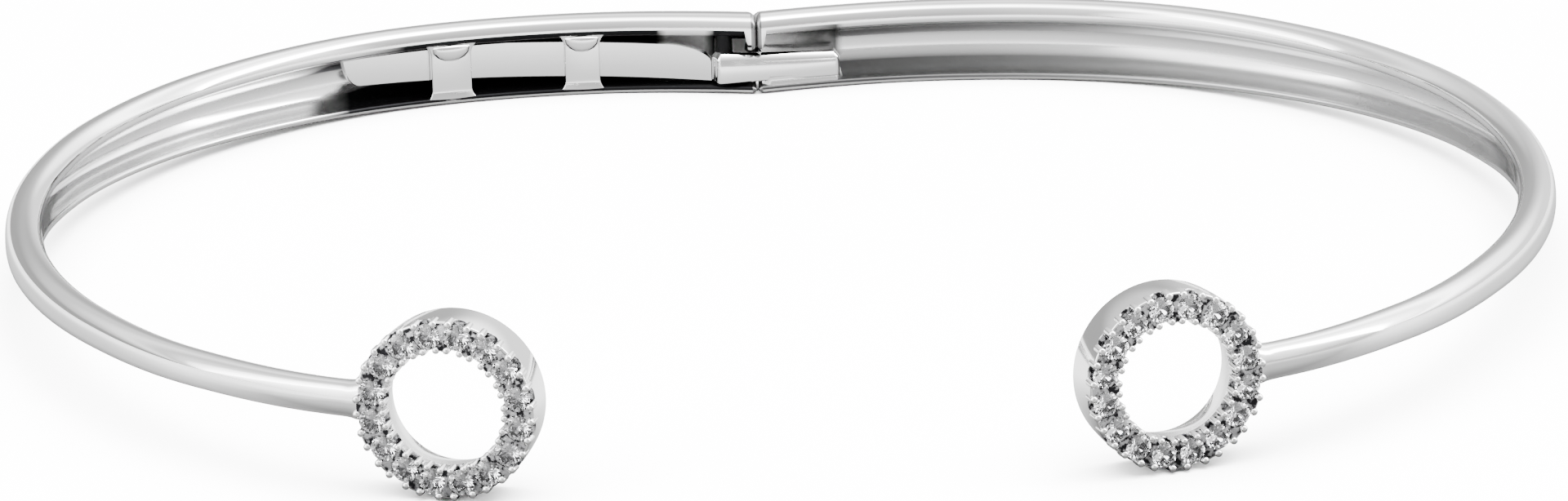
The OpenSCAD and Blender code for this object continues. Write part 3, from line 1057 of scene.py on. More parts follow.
@dataclass(frozen=True)
class Arm:
    """One arm: the domed band with its channel, and the ring at its end.

    Args:
        side: Left or right.
        section: The cross-section and plan.
        ring: The front ring.
        hinge: The joint.
        flare: How much the arm swells where it is soldered to its ring, in millimetres.
        flare_length: Length over which it swells.
        station: Length between two stations along the arm.
        align: Length over which the seam's shape fades out.
    """

    side: Side
    section: Section
    ring: FrontRing
    hinge: Hinge
    flare: float = 0.09
    flare_length: float = 0.22
    station: float = 0.2
    align: float = 2.5

    def lengths(self, total: float) -> np.ndarray:
        """Spaces the stations along the arm: close at the seam and the collar, even after it.

        Args:
            total: Length of the arm.

        Returns:
            The distance of each station from the joint.
        """
        seam = np.array([0, 0.006, 0.016, 0.03, 0.05, 0.075, 0.105, 0.14, 0.18, 0.24, 0.32, 0.4])
        collar = np.arange(0.44, 0.78, 0.02)
        even = np.linspace(0.85, total, int((total - 0.85) / self.station))
        return np.concatenate([seam, collar, even])

    def bar(self) -> Shell:
        """Makes the band from the seam to its sunk end in the ring.

        Returns:
            The band, with the channel's painted shade and the seam's painted shade.
        """
        section, plan, hinge = self.section, self.section.plan, self.hinge
        total = plan.length_to(self.ring.tip_bearing(section))
        t = self.lengths(total)[:, None]
        fade = np.clip(1 - t / self.align, 0, 1)
        grow = self.flare * np.exp(-np.clip(total - self.ring.solder - t, 0, None) / self.flare_length)
        flat = np.zeros((1, section.count))
        past_collar = 5.0
        x = t + hinge.start(self.side, plan, section.outer(flat, 0)[0]) * fade
        bearing = plan.bearing_after(x)
        outer = (bearing, *section.outer(bearing, grow))
        x = t + hinge.start(self.side, plan, section.hollow(flat, flat + past_collar)[0]) * fade
        bearing = plan.bearing_after(x)
        hollow = (bearing, *section.hollow(bearing, x))
        bearing, depth, level = (np.concatenate([a, b[:, ::-1]], 1) for a, b in zip(outer, hollow))
        n = section.count
        column = np.arange(2 * n)
        outside = smooth_step((depth[:1] - 0.2) / 0.8) * (column < n)
        lips = 1 - smooth_step((depth[:1] - 0.25) / 0.3)
        least = hinge.least_bevel
        bevel = least + (hinge.edge_bevel - least) * lips + (hinge.seam_bevel - least) * outside
        inset = bevel - np.sqrt(np.clip(bevel**2 - np.clip(bevel - t, 0, None) ** 2, 0, None))
        run = np.stack([np.roll(v, -1, 1) - np.roll(v, 1, 1) for v in (depth, level)])
        run /= np.maximum(np.hypot(run[0], run[1]), TINY)
        depth = depth - run[1] * inset
        level = level + run[0] * inset
        cap = [(i, i + 1, 2 * n - 2 - i, 2 * n - 1 - i) for i in range(n - 1)]
        shell = sweep(np.stack([*plan.at(bearing, depth), level], -1), cap)
        # Faces inside the channel take the channel's painted shade.
        in_channel = (section.channel_share(bearing[:-1, -1:]) > 0) & (column >= n)
        skins = np.where(in_channel, Skin.CHANNEL.value, Skin.POLISHED.value)
        # Painted shade on the seam's notch here, and below on the end caps.
        skins[t[:-1, 0] < hinge.notch] = Skin.SHADE.value
        ends = len(shell.faces) - skins.size
        return Shell(shell.points, shell.faces, skins.ravel().tolist() + [Skin.SHADE.value] * ends)

    def build(self, bench: Bench, materials: list[bpy.types.Material]) -> None:
        """Makes the arm with its ring, carved as the real one is, and dresses it.

        Args:
            bench: Where it is made.
            materials: Its finishes, one for each skin.
        """
        place = self.ring.matrix(self.section)
        name = f"{self.side.value}_arm_polished"
        piece = bench.make(name, self.ring.blank().moved(place), self.side, materials)
        steps = [
            (self.ring.scallops().moved(place), Carve.CUT),
            (self.bar(), Carve.JOIN),
            (self.ring.prongs().moved(place), Carve.JOIN),
            (self.ring.seats().moved(place), Carve.CUT),
        ]
        if self.side is Side.LEFT:
            steps.append((self.hinge.tongue_room(self.section), Carve.CUT))
        for tool, how in steps:
            bench.carve(piece, tool, self.side, how)
        bench.finish(piece, self.side, "polished_metal", 38)
        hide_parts(self.side.arm_node)


@dataclass(frozen=True)
class Bridge:
    """A flat bridge soldered across the channel, with flared feet. In millimetres.

    Args:
        name: Name of the piece.
        at: Distance from the joint to the middle of the bridge.
        width: Width of the bridge.
        thickness: Thickness of the bridge.
        face: How far its face lies back from the wrist side.
        seat: How far it is soldered into each lip.
        foot: How far its feet spread.
        foot_share: Share of its half height over which they spread.
        foot_rise: How much nearer the wrist side the feet end.
        edge: Softened edge of its face.
        blob: Half depth and half height of the solder, and the share of it above the lip's edge.
    """

    name: str
    at: float
    width: float
    thickness: float = 0.32
    face: float = 0.07
    seat: float = 0.12
    foot: float = 0.22
    foot_share: float = 0.42
    foot_rise: float = 0.05
    edge: float = 0.05
    blob: Triple = (0.3, 0.62, 0.22)

    def shell(self, section: Section) -> Shell:
        """Makes the bridge, its face a little below the lips' faces.

        Args:
            section: The arm's cross-section and plan.

        Returns:
            The bridge, on the right arm's side of the mirror.
        """
        middle = section.plan.bearing_after(np.array(self.at))
        half = float(section.height(middle)) / 2 - section.lip_height + self.seat
        back = self.face + self.thickness
        rows = []
        for level in np.linspace(-half, half, 41):
            near = max(0.0, 1 - min(level + half, half - level) / (self.foot_share * half))
            wide = self.width / 2 + self.foot * near**2.2
            face = self.face - self.foot_rise * near**2
            line = [
                (-wide, back), (-wide, face + self.edge),
                (0.35 * self.edge - wide, face + 0.3 * self.edge), (self.edge - wide, face),
            ]
            along, depth = zip(*line, *((-x, y) for x, y in reversed(line)))
            levels = [level - section.channel_drop] * len(depth)
            rows.append(section.plan.row(self.at + np.array(along), depth, levels))
        return sweep(np.array(rows))

    def solder(self, section: Section) -> Shell:
        """Makes the half-moon of solder where the bridge's top meets the upper lip.

        Args:
            section: The arm's cross-section and plan.

        Returns:
            The solder, with a painted shadow along its lower rim.
        """
        middle = section.plan.bearing_after(np.array(self.at))
        half = float(section.height(middle)) / 2 - section.lip_height
        x, y = section.plan.at(middle, np.array(self.face))
        tx, ty = section.plan.along(middle)
        depth, height, above = self.blob
        profile = [(math.sin(a), math.cos(a)) for a in np.linspace(0, math.pi, 9)]
        drop = revolve([(r, z * (above if z > 0 else 1)) for r, z in profile], 32)
        skins = []
        for face in drop.faces:
            # Painted shadow: faces along the lower rim take the dark third finish.
            dark = all(abs(drop.points[i][1] + 0.1) < 0.42 and drop.points[i][2] < -0.02 for i in face)
            skins.append(Skin.SEAT_SHADE.value if dark else Skin.POLISHED.value)
        place = Matrix.Translation((x, y, 0)) @ Matrix.Rotation(math.atan2(ty, tx), 4, "Z")
        place @= Matrix.Translation((0, 0.05, half - section.channel_drop))
        size = Matrix.Diagonal((0.8 * (self.width / 2 + self.foot), depth, height, 1))
        return Shell(drop.points, drop.faces, skins).moved(place @ size)

    def build(self, bench: Bench, section: Section, materials: list[bpy.types.Material]) -> None:
        """Makes the bridge with its solder and dresses it.

        Args:
            bench: Where it is made.
            section: The arm's cross-section and plan.
            materials: Its finishes, one for each skin.
        """
        piece = bench.make(self.name, self.shell(section), Side.LEFT, materials)
        bench.carve(piece, self.solder(section), Side.LEFT, Carve.JOIN)
        bench.finish(piece, Side.LEFT, "polished_metal", 40)


@dataclass(frozen=True)
class Leaf:
    """The leaf spring behind the bridges. In millimetres.

    Args:
        height: Height of the strip.
        level: Height of its middle line beside the joint.
        tilt: How much it rises along its length, as a share of the length.
        ceiling: Height of its upper edge under the lip, where it is cut level.
        thickness: Thickness of the strip.
        far: Distance from the joint to its far end.
        gap: Gap left round it.
        near_round: Length of the rounded upper corner beside the joint.
        near_drop: Share of the height that this corner takes.
        far_round: Length of the rounded lower corner at the far end.
        far_rise: Share of the height that this corner takes.
        edge: Softened edge of its face.
    """

    height: float = 1.54
    level: float = -0.49
    tilt: float = 0.05
    ceiling: float = 0.7
    thickness: float = 0.3
    far: float = 17.4
    gap: float = 0.05
    near_round: float = 1.7
    near_drop: float = 0.44
    far_round: float = 0.75
    far_rise: float = 0.86
    edge: float = 0.04

    def shell(self, section: Section, hinge: Hinge, bridge: Bridge) -> Shell:
        """Makes the strip on the right arm's side of the mirror.

        Args:
            section: The arm's cross-section and plan.
            hinge: The joint, beside which it begins.
            bridge: A bridge, behind which it lies.

        Returns:
            The strip.
        """
        near = hinge.pin_setback + hinge.boss + 3 * self.gap
        front = bridge.face + bridge.thickness + self.gap
        back = front + self.thickness
        edge = self.edge
        lengths = np.concatenate([
            near + self.near_round * (1 - np.cos(np.linspace(0, math.pi / 2, 24))),
            np.linspace(near + self.near_round, self.far - self.far_round, 90)[1:-1],
            self.far - self.far_round * (1 - np.sin(np.linspace(0, math.pi / 2, 20))),
        ])
        rows = []
        for length in lengths:
            middle = self.level + self.tilt * (length - near)
            low = middle - self.height / 2
            top = min(middle + self.height / 2, self.ceiling)
            near_share = max(0.0, 1 - (length - near) / self.near_round)
            top -= self.near_drop * self.height * (1 - math.sqrt(max(0.0, 1 - near_share**1.6)))
            far_share = max(0.0, 1 - (self.far - length) / self.far_round)
            low += self.far_rise * self.height * (1 - math.sqrt(max(0.0, 1 - far_share**2)))
            line = [
                (front + edge, low), (front, low + edge), (front, top - edge), (front + edge, top),
                (back, top), (back, low),
            ]
            rows.append(section.plan.row(length, *zip(*line)))
        return sweep(np.array(rows))

    def build(
        self, bench: Bench, section: Section, hinge: Hinge, bridge: Bridge, material: bpy.types.Material
    ) -> None:
        """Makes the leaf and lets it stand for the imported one.

        Args:
            bench: Where it is made.
            section: The arm's cross-section and plan.
            hinge: The joint.
            bridge: A bridge, behind which it lies.
            material: Its finish.
        """
        piece = bench.make("leaf_spring_strip", self.shell(section, hinge, bridge), Side.LEFT, [material])
        bench.finish(piece, Side.LEFT, "spring_metal", 40)
        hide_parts("leaf_spring")


class Nodes:
    """Short hands for building a node tree."""

    def __init__(self, tree: bpy.types.NodeTree) -> None:
        """Keeps the tree."""
        self.tree = tree

    def feed(self, node: bpy.types.Node, values: dict) -> None:
        """Links a node's inputs, or sets them.

        Args:
            node: The node.
            values: A value to link or a constant to set, by the input's name or number.
        """
        for key, value in values.items():
            if isinstance(value, Value):
                self.tree.links.new(value.socket, node.inputs[key])
            else:
                node.inputs[key].default_value = value

    def add(self, kind: str, values: dict | None = None, **properties: object) -> bpy.types.Node:
        """Adds a node.

        Args:
            kind: Its type.
            values: What its inputs get, as in feed.
            properties: Its plain properties.

        Returns:
            The node.
        """
        node = self.tree.nodes.new(kind)
        for name, value in properties.items():
            setattr(node, name, value)
        self.feed(node, values or {})
        return node

    def out(self, node: bpy.types.Node, key: str | int = 0) -> "Value":
        """Returns one output of a node."""
        return Value(self, node.outputs[key])

    def maths(self, kind: str, first: "Value | float", second: "Value | float" = 0.0) -> "Value":
        """Returns what a maths node makes of values or numbers."""
        return self.out(self.add("ShaderNodeMath", {0: first, 1: second}, operation=kind))

    def mix(self, share: object, first: object, second: object, **properties: object) -> "Value":
        """Returns a mix of two colours."""
        values = {0: share, 6: first, 7: second}
        return self.out(self.add("ShaderNodeMix", values, data_type="RGBA", **properties), 2)

    def place(self, kind: str = "Object") -> "Value":
        """Returns the place on the object, or for Generated in a world the direction."""
        return self.out(self.add("ShaderNodeTexCoord"), kind)

    def parts(self, place: "Value") -> list["Value"]:
        """Returns the x, y and z of a place."""
        node = self.add("ShaderNodeSeparateXYZ", {0: place})
        return [self.out(node, i) for i in range(3)]

    def ramp(self, source: "Value", stops: Pairs | Points) -> "Value":
        """Adds a smooth grey ramp.

        Args:
            source: The value that runs along it.
            stops: Pairs of place and brightness.

        Returns:
            Its colour.
        """
        node = self.add("ShaderNodeValToRGB", {0: source})
        node.color_ramp.interpolation = "EASE"
        elements = node.color_ramp.elements
        while len(elements) < len(stops):
            elements.new(0.5)
        for element, (place, grey) in zip(elements, stops):
            element.position = place
            element.color = (grey, grey, grey, 1)
        return self.out(node)


class Value:
    """One output in a node tree, reckoned with as a number is."""

    def __init__(self, nodes: Nodes, socket: bpy.types.NodeSocket) -> None:
        """Keeps the output and its tree."""
        self.nodes = nodes
        self.socket = socket

    @property
    def clamped(self) -> "Value":
        """The same value, held between 0 and 1."""
        self.socket.node.use_clamp = True
        return self

    def __add__(self, other: "Value | float") -> "Value":
        """Returns the sum."""
        return self.nodes.maths("ADD", self, other)

    def __sub__(self, other: "Value | float") -> "Value":
        """Returns the difference."""
        return self.nodes.maths("SUBTRACT", self, other)

    def __rsub__(self, other: float) -> "Value":
        """Returns a number less this value."""
        return self.nodes.maths("SUBTRACT", other, self)

    def __mul__(self, other: "Value | float") -> "Value":
        """Returns the product."""
        return self.nodes.maths("MULTIPLY", self, other)

    def __truediv__(self, other: float) -> "Value":
        """Returns the quotient."""
        return self.nodes.maths("DIVIDE", self, other)

    def __pow__(self, other: float) -> "Value":
        """Returns the power."""
        return self.nodes.maths("POWER", self, other)

    def __lt__(self, other: float) -> "Value":
        """Returns 1 where the value is less and 0 elsewhere."""
        return self.nodes.maths("LESS_THAN", self, other)

    def __gt__(self, other: float) -> "Value":
        """Returns 1 where the value is greater and 0 elsewhere."""
        return self.nodes.maths("GREATER_THAN", self, other)


def new_material(name: str) -> tuple[bpy.types.Material, Nodes, bpy.types.Node]:
    """Makes a material.

    Args:
        name: Its name.

    Returns:
        The material, its nodes and its shader.
    """
    material = bpy.data.materials.new(name)
    material.use_nodes = True
    return material, Nodes(material.node_tree), material.node_tree.nodes["Principled BSDF"]


def polish_group() -> bpy.types.NodeTree:
    """Builds the effect of polished metal once: faint marks and a soft, uneven haze.

    Returns:
        A node group that puts out a mask of haze and a height.
    """
    group = bpy.data.node_groups.new("polish_marks", "ShaderNodeTree")
    for name, value in (("Mark Scale", 900.0), ("Haze Scale", 260.0), ("Haze Contrast", 3.0)):
        socket = group.interface.new_socket(name, in_out="INPUT", socket_type="NodeSocketFloat")
        socket.default_value = value
    for name in ("Haze", "Height"):
        group.interface.new_socket(name, in_out="OUTPUT", socket_type="NodeSocketFloat")
    nodes = Nodes(group)
    inward = nodes.add("NodeGroupInput")
    mark_scale, haze_scale, contrast = (nodes.out(inward, i) for i in range(3))
    place = nodes.place()
    haze = nodes.add("ShaderNodeTexNoise", {"Vector": place, "Scale": haze_scale, "Detail": 3.0})
    marks = nodes.add(
        "ShaderNodeTexNoise", {"Vector": place, "Scale": mark_scale, "Detail": 5.0, "Roughness": 0.6}
    )
    cloud = ((nodes.out(haze, "Fac") - 0.42) * contrast).clamped
    nodes.add("NodeGroupOutput", {"Haze": cloud, "Height": nodes.out(marks, "Fac")})
    return group


@dataclass(frozen=True)
class PolishedMetal:
    """A plated metal with a mirror polish; bright for the plate and spring, dark with painted shade for the
    pin, seats, crevices and solder rims.

    Args:
        name: Name of the material.
        colour: Colour of the plating.
        hazed: Colour where the polish is a little duller; in the seat finish it is mottled painted shade.
        roughness: Roughness where the polish is best.
        haze: How much rougher the dull places are.
        marks: Depth of the polishing marks, in millimetres.
        mark_scale: How fine the marks are.
        haze_scale: How fine the dull places are.
        haze_contrast: How sharply they end.
    """

    name: str
    colour: Colour
    hazed: Colour
    roughness: float
    haze: float
    marks: float = 0.001
    mark_scale: float = 1200.0
    haze_scale: float = 260.0
    haze_contrast: float = 3.0

    def build(self, group: bpy.types.NodeTree) -> bpy.types.Material:
        """Makes the material.

        Args:
            group: The shared polish effect.

        Returns:
            The material.
        """
        material, nodes, shader = new_material(self.name)
        scales = {
            "Mark Scale": self.mark_scale, "Haze Scale": self.haze_scale, "Haze Contrast": self.haze_contrast,
        }
        effect = nodes.add("ShaderNodeGroup", node_tree=group)
        nodes.feed(effect, scales)
        haze = nodes.out(effect, "Haze")
        height = nodes.out(effect, "Height")
        bump = nodes.add("ShaderNodeBump", {"Strength": 1.0, "Distance": self.marks * MM, "Height": height})
        nodes.feed(shader, {
            "Metallic": 1.0,
            "Base Color": nodes.mix(haze, (*self.colour, 1), (*self.hazed, 1)),
            "Roughness": haze * self.haze + self.roughness,
            "Normal": nodes.out(bump),
        })
        return material


PLATE = PolishedMetal("polished_plate", (0.93, 0.93, 0.925), (0.88, 0.88, 0.88), 0.05, 0.05, 0.0006, 700.0)
SPRING = PolishedMetal("spring_strip", (0.86, 0.86, 0.86), (0.80, 0.80, 0.80), 0.09, 0.08)
# Painted shade: the pin is made near-black because it sits in the hinge's dark recess.
STEEL_SHADE = PolishedMetal("pin_steel_painted_shade", (0.018, 0.018, 0.02), (0.01, 0.01, 0.01), 0.4, 0.1)
# Painted shade: dark, mottled metal for the seats, the scallops and the stone face.
SEAT_SHADE = PolishedMetal(
    "seat_painted_shade", (0.6, 0.6, 0.61), (0.02, 0.02, 0.022), 0.12, 0.2, 0.02, 5000.0, 4500.0, 7.0
)
# Painted shade: grey metal for the seam's notch, the end caps and the tongue's slot.
CREVICE_SHADE = PolishedMetal("crevice_painted_shade", (0.22, 0.22, 0.22), (0.14, 0.14, 0.14), 0.25, 0.1)
# Painted shadow: near-black metal for the rim under the bridges' solder.
RIM_SHADE = PolishedMetal("solder_rim_painted_shade", (0.06, 0.06, 0.06), (0.03, 0.03, 0.03), 0.2, 0.1)


@dataclass(frozen=True)
class ChannelShadeMetal:
    """The metal inside the channel, with painted shade: bright at the sides, painted dark in its deep
    corners, with a painted glint above the leaf.

    Lengths in millimetres.

    Args:
        name: Name of the material.
        bright: Colour of the channel's metal where no shade is painted.
        dark: Colour of the painted shade in the channel's deep corners.
        left_reach: Distance beside the joint up to which the left channel is dark.
        left_low_reach: The same for its lower corner.
        left_fade: Length over which it brightens.
        right_reach: Distance beside the joint at which the right channel's lower corner begins to fade.
        right_fade: Length over which it fades.
        right_dark: How dark it is before it fades.
        faded: How much it has faded after that length.
        corner: Height below the middle at which the lower corner begins.
        corner_fade: Height over which it darkens.
        pocket: Distances beside the joint between which the pocket above the tongue darkens.
        pocket_dark: How dark it is at the two.
        pocket_fade: Length over which it ends.
        glint: Distances between which a painted glint lifts the left channel's painted shade above the leaf.
        glint_shine: How much it lifts it there.
        room_shine: How much it lifts it between the first of these distances and the joint.
        room_top: Height up to which it does.
        shine_foot: Height from which both do.
        roughness: Roughness where the polish reaches.
        rougher: How much rougher the corners are, the shining places, and the dull ones of the polish.
    """

    name: str = "channel_painted_shade"
    bright: Colour = (0.88, 0.88, 0.88)
    dark: Colour = (0.012, 0.012, 0.013)
    left_reach: float = 14.6
    left_low_reach: float = 17.0
    left_fade: float = 2.0
    right_reach: float = 3.0
    right_fade: float = 22.0
    right_dark: float = 0.92
    faded: float = 0.42
    corner: float = -0.6
    corner_fade: float = 0.35
    pocket: tuple[float, float] = (0.3, 3.4)
    pocket_dark: tuple[float, float] = (0.08, 0.88)
    pocket_fade: float = 0.35
    glint: tuple[float, float] = (1.7, 4.1)
    glint_shine: float = 0.95
    room_shine: float = 0.9
    room_top: float = 0.35
    shine_foot: float = -0.75
    roughness: float = 0.12
    rougher: Triple = (0.3, 0.5, 0.08)

    def shine(self, x: Value, level: Value) -> Value:
        """Masks the painted glint above the leaf and beside the tongue, where the painted shade is lifted.

        Args:
            x: Distance to the right of the joint.
            level: Height above the middle.

        Returns:
            The mask.
        """
        start, end = self.glint
        glint = (x.nodes.maths("MINIMUM", x + end, -start - x) * 2.5).clamped * self.glint_shine
        room = ((x + start) * 4.0).clamped * (level < self.room_top)
        return x.nodes.maths("MAXIMUM", glint, room * self.room_shine) * (level > self.shine_foot)

    def right(self, x: Value, low: Value) -> Value:
        """Masks the painted shade in the right channel's lower corner and in the pocket above the tongue.

        Args:
            x: Distance to the right of the joint.
            low: Mask of the lower corner.

        Returns:
            The mask.
        """
        far = ((x - self.right_reach) / self.right_fade).clamped
        corner = (self.right_dark - far**1.3 * self.faded) * low
        start, end = self.pocket
        first, last = self.pocket_dark
        rise = ((x - start) / (end - start)).clamped
        ending = ((end + self.pocket_fade - x) / self.pocket_fade).clamped
        pocket = (rise * (last - first) + first) * ending * (x > start)
        return x.nodes.maths("MAXIMUM", corner, pocket) * (x > 0.0)

    def build(self, group: bpy.types.NodeTree, lie: Lie) -> bpy.types.Material:
        """Makes the material around masks of painted shade and painted glint, by place.

        Args:
            group: The shared polish effect.
            lie: How the bangle lies.

        Returns:
            The material.
        """
        material, nodes, shader = new_material(self.name)
        haze = nodes.out(nodes.add("ShaderNodeGroup", node_tree=group), "Haze")
        x, y, z = (part / MM for part in nodes.parts(nodes.place()))
        level = (z - lie.lift) * math.cos(lie.lean) + y * math.sin(lie.lean)
        low = ((self.corner - level) / self.corner_fade).clamped
        reach = low * (self.left_low_reach - self.left_reach) + (self.left_reach + self.left_fade)
        shine = self.shine(x, level)
        left = ((x + reach) / self.left_fade).clamped * (x < 0.0) * (1.0 - shine)
        # Painted shade: 1 where the channel is painted dark, less where the painted glint lifts it.
        mask = (left + self.right(x, low)).clamped
        corners, shining, dull = self.rougher
        rough = mask * corners + self.roughness + shine * (x < 0.0) * shining + haze * dull
        colour = nodes.mix(mask, (*self.bright, 1), (*self.dark, 1))
        nodes.feed(shader, {"Metallic": 1.0, "Base Color": colour, "Roughness": rough})
        return material


@dataclass(frozen=True)
class ClearStone:
    """A clear cut stone.

    Args:
        name: Name of the material.
        colour: Grey tint of the clear stone, painted shade that darkens it.
        index: Refractive index.
        wear: Roughness of the worn places on its facets.
    """

    name: str = "clear_cut_stone"
    # Painted shade: a grey tint that darkens the clear stones.
    colour: Colour = (0.5, 0.5, 0.51)
    index: float = 1.75
    wear: float = 0.015

    def build(self, group: bpy.types.NodeTree) -> bpy.types.Material:
        """Makes the material: clear glass, tinted grey as painted shade, with a trace of wear.

        Args:
            group: The shared polish effect.

        Returns:
            The material.
        """
        material, nodes, shader = new_material(self.name)
        haze = nodes.out(nodes.add("ShaderNodeGroup", node_tree=group), "Haze")
        nodes.feed(shader, {
            "Base Color": (*self.colour, 1), "Transmission Weight": 1.0, "IOR": self.index,
            "Roughness": haze * self.wear,
        })
        return material


@dataclass(frozen=True)
class Studio:
    """The pale floor, the soft light and the camera.

    Args:
        elevation: Camera's elevation above the bangle's middle plane, in degrees.
        turn: How far the bangle is turned to the camera, in degrees.
        roll: Camera's roll, in degrees.
        distance: Distance from the camera, in millimetres.
        focal: Focal length in pixels of the photograph.
        aim: Sideways, depth and height offset of the point looked at, in millimetres.
        sensor: Sensor width in millimetres.
        clip: Nearest and furthest distance that the camera sees, in metres.
        floor_half: Half the floor's width, in metres.
        floor_gap: Gap between the floor and the lowest point, in millimetres.
        mirror_dim: How much darker the floor looks when mirrored in the metal, painted shade that only
            reflections show.
        shadow: Half width and half depth of the painted shadow oval in that mirrored floor, in millimetres.
        shadow_tones: Factors of the mirrored floor from that oval's line (0) outwards and inwards.
        front_line: Depth from which painted shade darkens the mirrored floor in front, in millimetres.
        front_soft: Depth over which it does.
        front_width: Width over which front_tones are spread, in millimetres.
        front_tones: Factors of the mirrored floor in front, from left (0) to right (1).
        peak: Brightness of the brightest light above.
        arch: Brightness over the arch of the studio, from the back (0) over the top to the front (1).
        contrast: Largest factor that the sides can reach.
        front_start: Share of the arch at which the front half begins.
        front_blend: Share over which it takes over.
        back_sides: Factors of the back half, from left (0) to right (1).
        front_sides: The same for the front half.
        clutter: How many bright and dark spots the stones mirror.
        sparkle: Brightness of these spots, from the dark ones (0) to the bright ones (1).
        sparkle_share: How much of what the stones mirror is spots.
        lamps: Place in metres, size in metres and power of each soft lamp, by name.
    """

    elevation: float = 16.42
    turn: float = 2.12
    roll: float = 1.66
    distance: float = 494.5
    focal: float = 15270.0
    aim: Triple = (-0.06, -3.83, -0.62)
    sensor: float = 36.0
    clip: tuple[float, float] = (0.01, 20.0)
    floor_half: float = 1.5
    floor_gap: float = 0.01
    mirror_dim: float = 0.8
    shadow: tuple[float, float] = (31.0, 25.0)
    shadow_tones: Pairs = ((0.0, 0.3), (0.12, 0.42), (0.5, 1.0), (1.0, 1.0))
    front_line: float = -19.0
    front_soft: float = 5.0
    front_width: float = 90.0
    front_tones: Pairs = (
        (0.0, 1.0), (0.08, 1.0), (0.15, 0.55), (0.19, 0.33),
        (0.84, 0.28), (0.9, 0.45), (0.945, 0.6), (0.98, 0.3),
    )
    peak: float = 12.0
    arch: Pairs = (
        (0.0, 0.7), (0.08, 0.7), (0.14, 1.5), (0.22, 2.6), (0.3, 1.7), (0.38, 2.4), (0.45, 7.0),
        (0.52, 12.0), (0.59, 7.5), (0.66, 3.4), (0.76, 2.7), (0.86, 2.3), (0.94, 2.0), (1.0, 2.0),
    )
    contrast: float = 3.0
    front_start: float = 0.54
    front_blend: float = 0.07
    back_sides: Pairs = ((0.0, 0.8), (0.35, 0.8), (0.5, 1.0), (0.64, 2.5), (1.0, 2.6))
    front_sides: Pairs = (
        (0.0, 1.8), (0.16, 2.2), (0.28, 0.6), (0.5, 0.45), (0.8, 0.42), (0.92, 1.0), (1.0, 0.8),
    )
    clutter: float = 2.4
    sparkle: Pairs = ((0.0, 0.0), (0.5, 0.0), (0.68, 0.08), (1.0, 0.9))
    sparkle_share: float = 0.92
    lamps: tuple[tuple[str, Triple, float, float], ...] = (
        ("overhead_softbox", (0.0, -0.05, 0.60), 0.80, 60.0),
        ("left_softbox", (-0.55, -0.25, 0.40), 0.30, 5.0),
    )

    def camera(self, lie: Lie) -> None:
        """Makes the camera at the photograph's angle to the bangle.

        Args:
            lie: How the bangle lies.
        """
        tip = Matrix.Rotation(math.radians(90 - self.elevation), 4, "X")
        roll = Matrix.Rotation(-math.radians(self.roll), 4, "Z")
        seat = tip @ roll @ Matrix.Translation((0, 0, self.distance))
        seat = Matrix.Translation((self.aim[0], 0, self.aim[2])) @ seat
        seat = Matrix.Rotation(-math.radians(self.turn), 4, "Z") @ seat
        place, rotation, _ = (lie.matrix @ Matrix.Translation((0, self.aim[1], 0)) @ seat).decompose()
        data = bpy.data.cameras.new("camera")
        data.sensor_fit = "HORIZONTAL"
        data.sensor_width = self.sensor
        data.lens = self.focal / IMAGE_WIDTH * self.sensor
        data.clip_start, data.clip_end = self.clip
        camera = bpy.data.objects.new("camera", data)
        camera.matrix_world = Matrix.Translation(place) @ rotation.to_matrix().to_4x4()
        bpy.context.scene.collection.objects.link(camera)
        bpy.context.scene.camera = camera

    def mirrored(self, nodes: Nodes, x: Value, y: Value) -> Value:
        """Works out how the floor looks when mirrored: painted shade, darker under the bangle and in front.

        Args:
            nodes: The floor's nodes.
            x: Place to the right, in metres.
            y: Place behind, in metres.

        Returns:
            A factor for the floor's colour.
        """
        wide, deep = (part / (half * MM) for part, half in zip((x, y), self.shadow))
        away = nodes.maths("ABSOLUTE", nodes.maths("SQRT", wide**2.0 + deep**2.0) - 1.0)
        ahead = ((self.front_line * MM - y) / (self.front_soft * MM)).clamped
        lost = 1.0 - nodes.ramp(x / (self.front_width * MM) + 0.5, self.front_tones)
        shaded = nodes.ramp(away, self.shadow_tones) * (1.0 - ahead * lost)
        glossy = nodes.out(nodes.add("ShaderNodeLightPath"), "Is Glossy Ray")
        return 1.0 - glossy * (1.0 - shaded * (1 - self.mirror_dim))

    def floor(self) -> None:
        """Makes the plain pale floor under the lowest point of the bangle, with painted shade in the colour
        that the metal mirrors.
        """
        level = CAD_BOX[0][2] - self.floor_gap * MM
        half = self.floor_half
        mesh = bpy.data.meshes.new("floor")
        corners = [(-half, -half, level), (half, -half, level), (half, half, level), (-half, half, level)]
        mesh.from_pydata(corners, [], [(0, 1, 2, 3)])
        floor = bpy.data.objects.new("floor", mesh)
        bpy.context.scene.collection.objects.link(floor)
        material, nodes, shader = new_material("pale_floor")
        place = nodes.place()
        x, y, _ = nodes.parts(place)
        grain = nodes.add("ShaderNodeTexNoise", {"Scale": 40.0, "Vector": place})
        tone = nodes.ramp(nodes.out(grain, "Fac"), ((0.3, 0.93), (0.7, 0.95)))
        # Painted shade: the floor's colour is dimmed for rays mirrored by the metal.
        seen = nodes.mix(1.0, tone, self.mirrored(nodes, x, y), blend_type="MULTIPLY")
        nodes.feed(shader, {"Base Color": seen, "Roughness": 0.9, "Specular IOR Level": 0.1})
        mesh.materials.append(material)

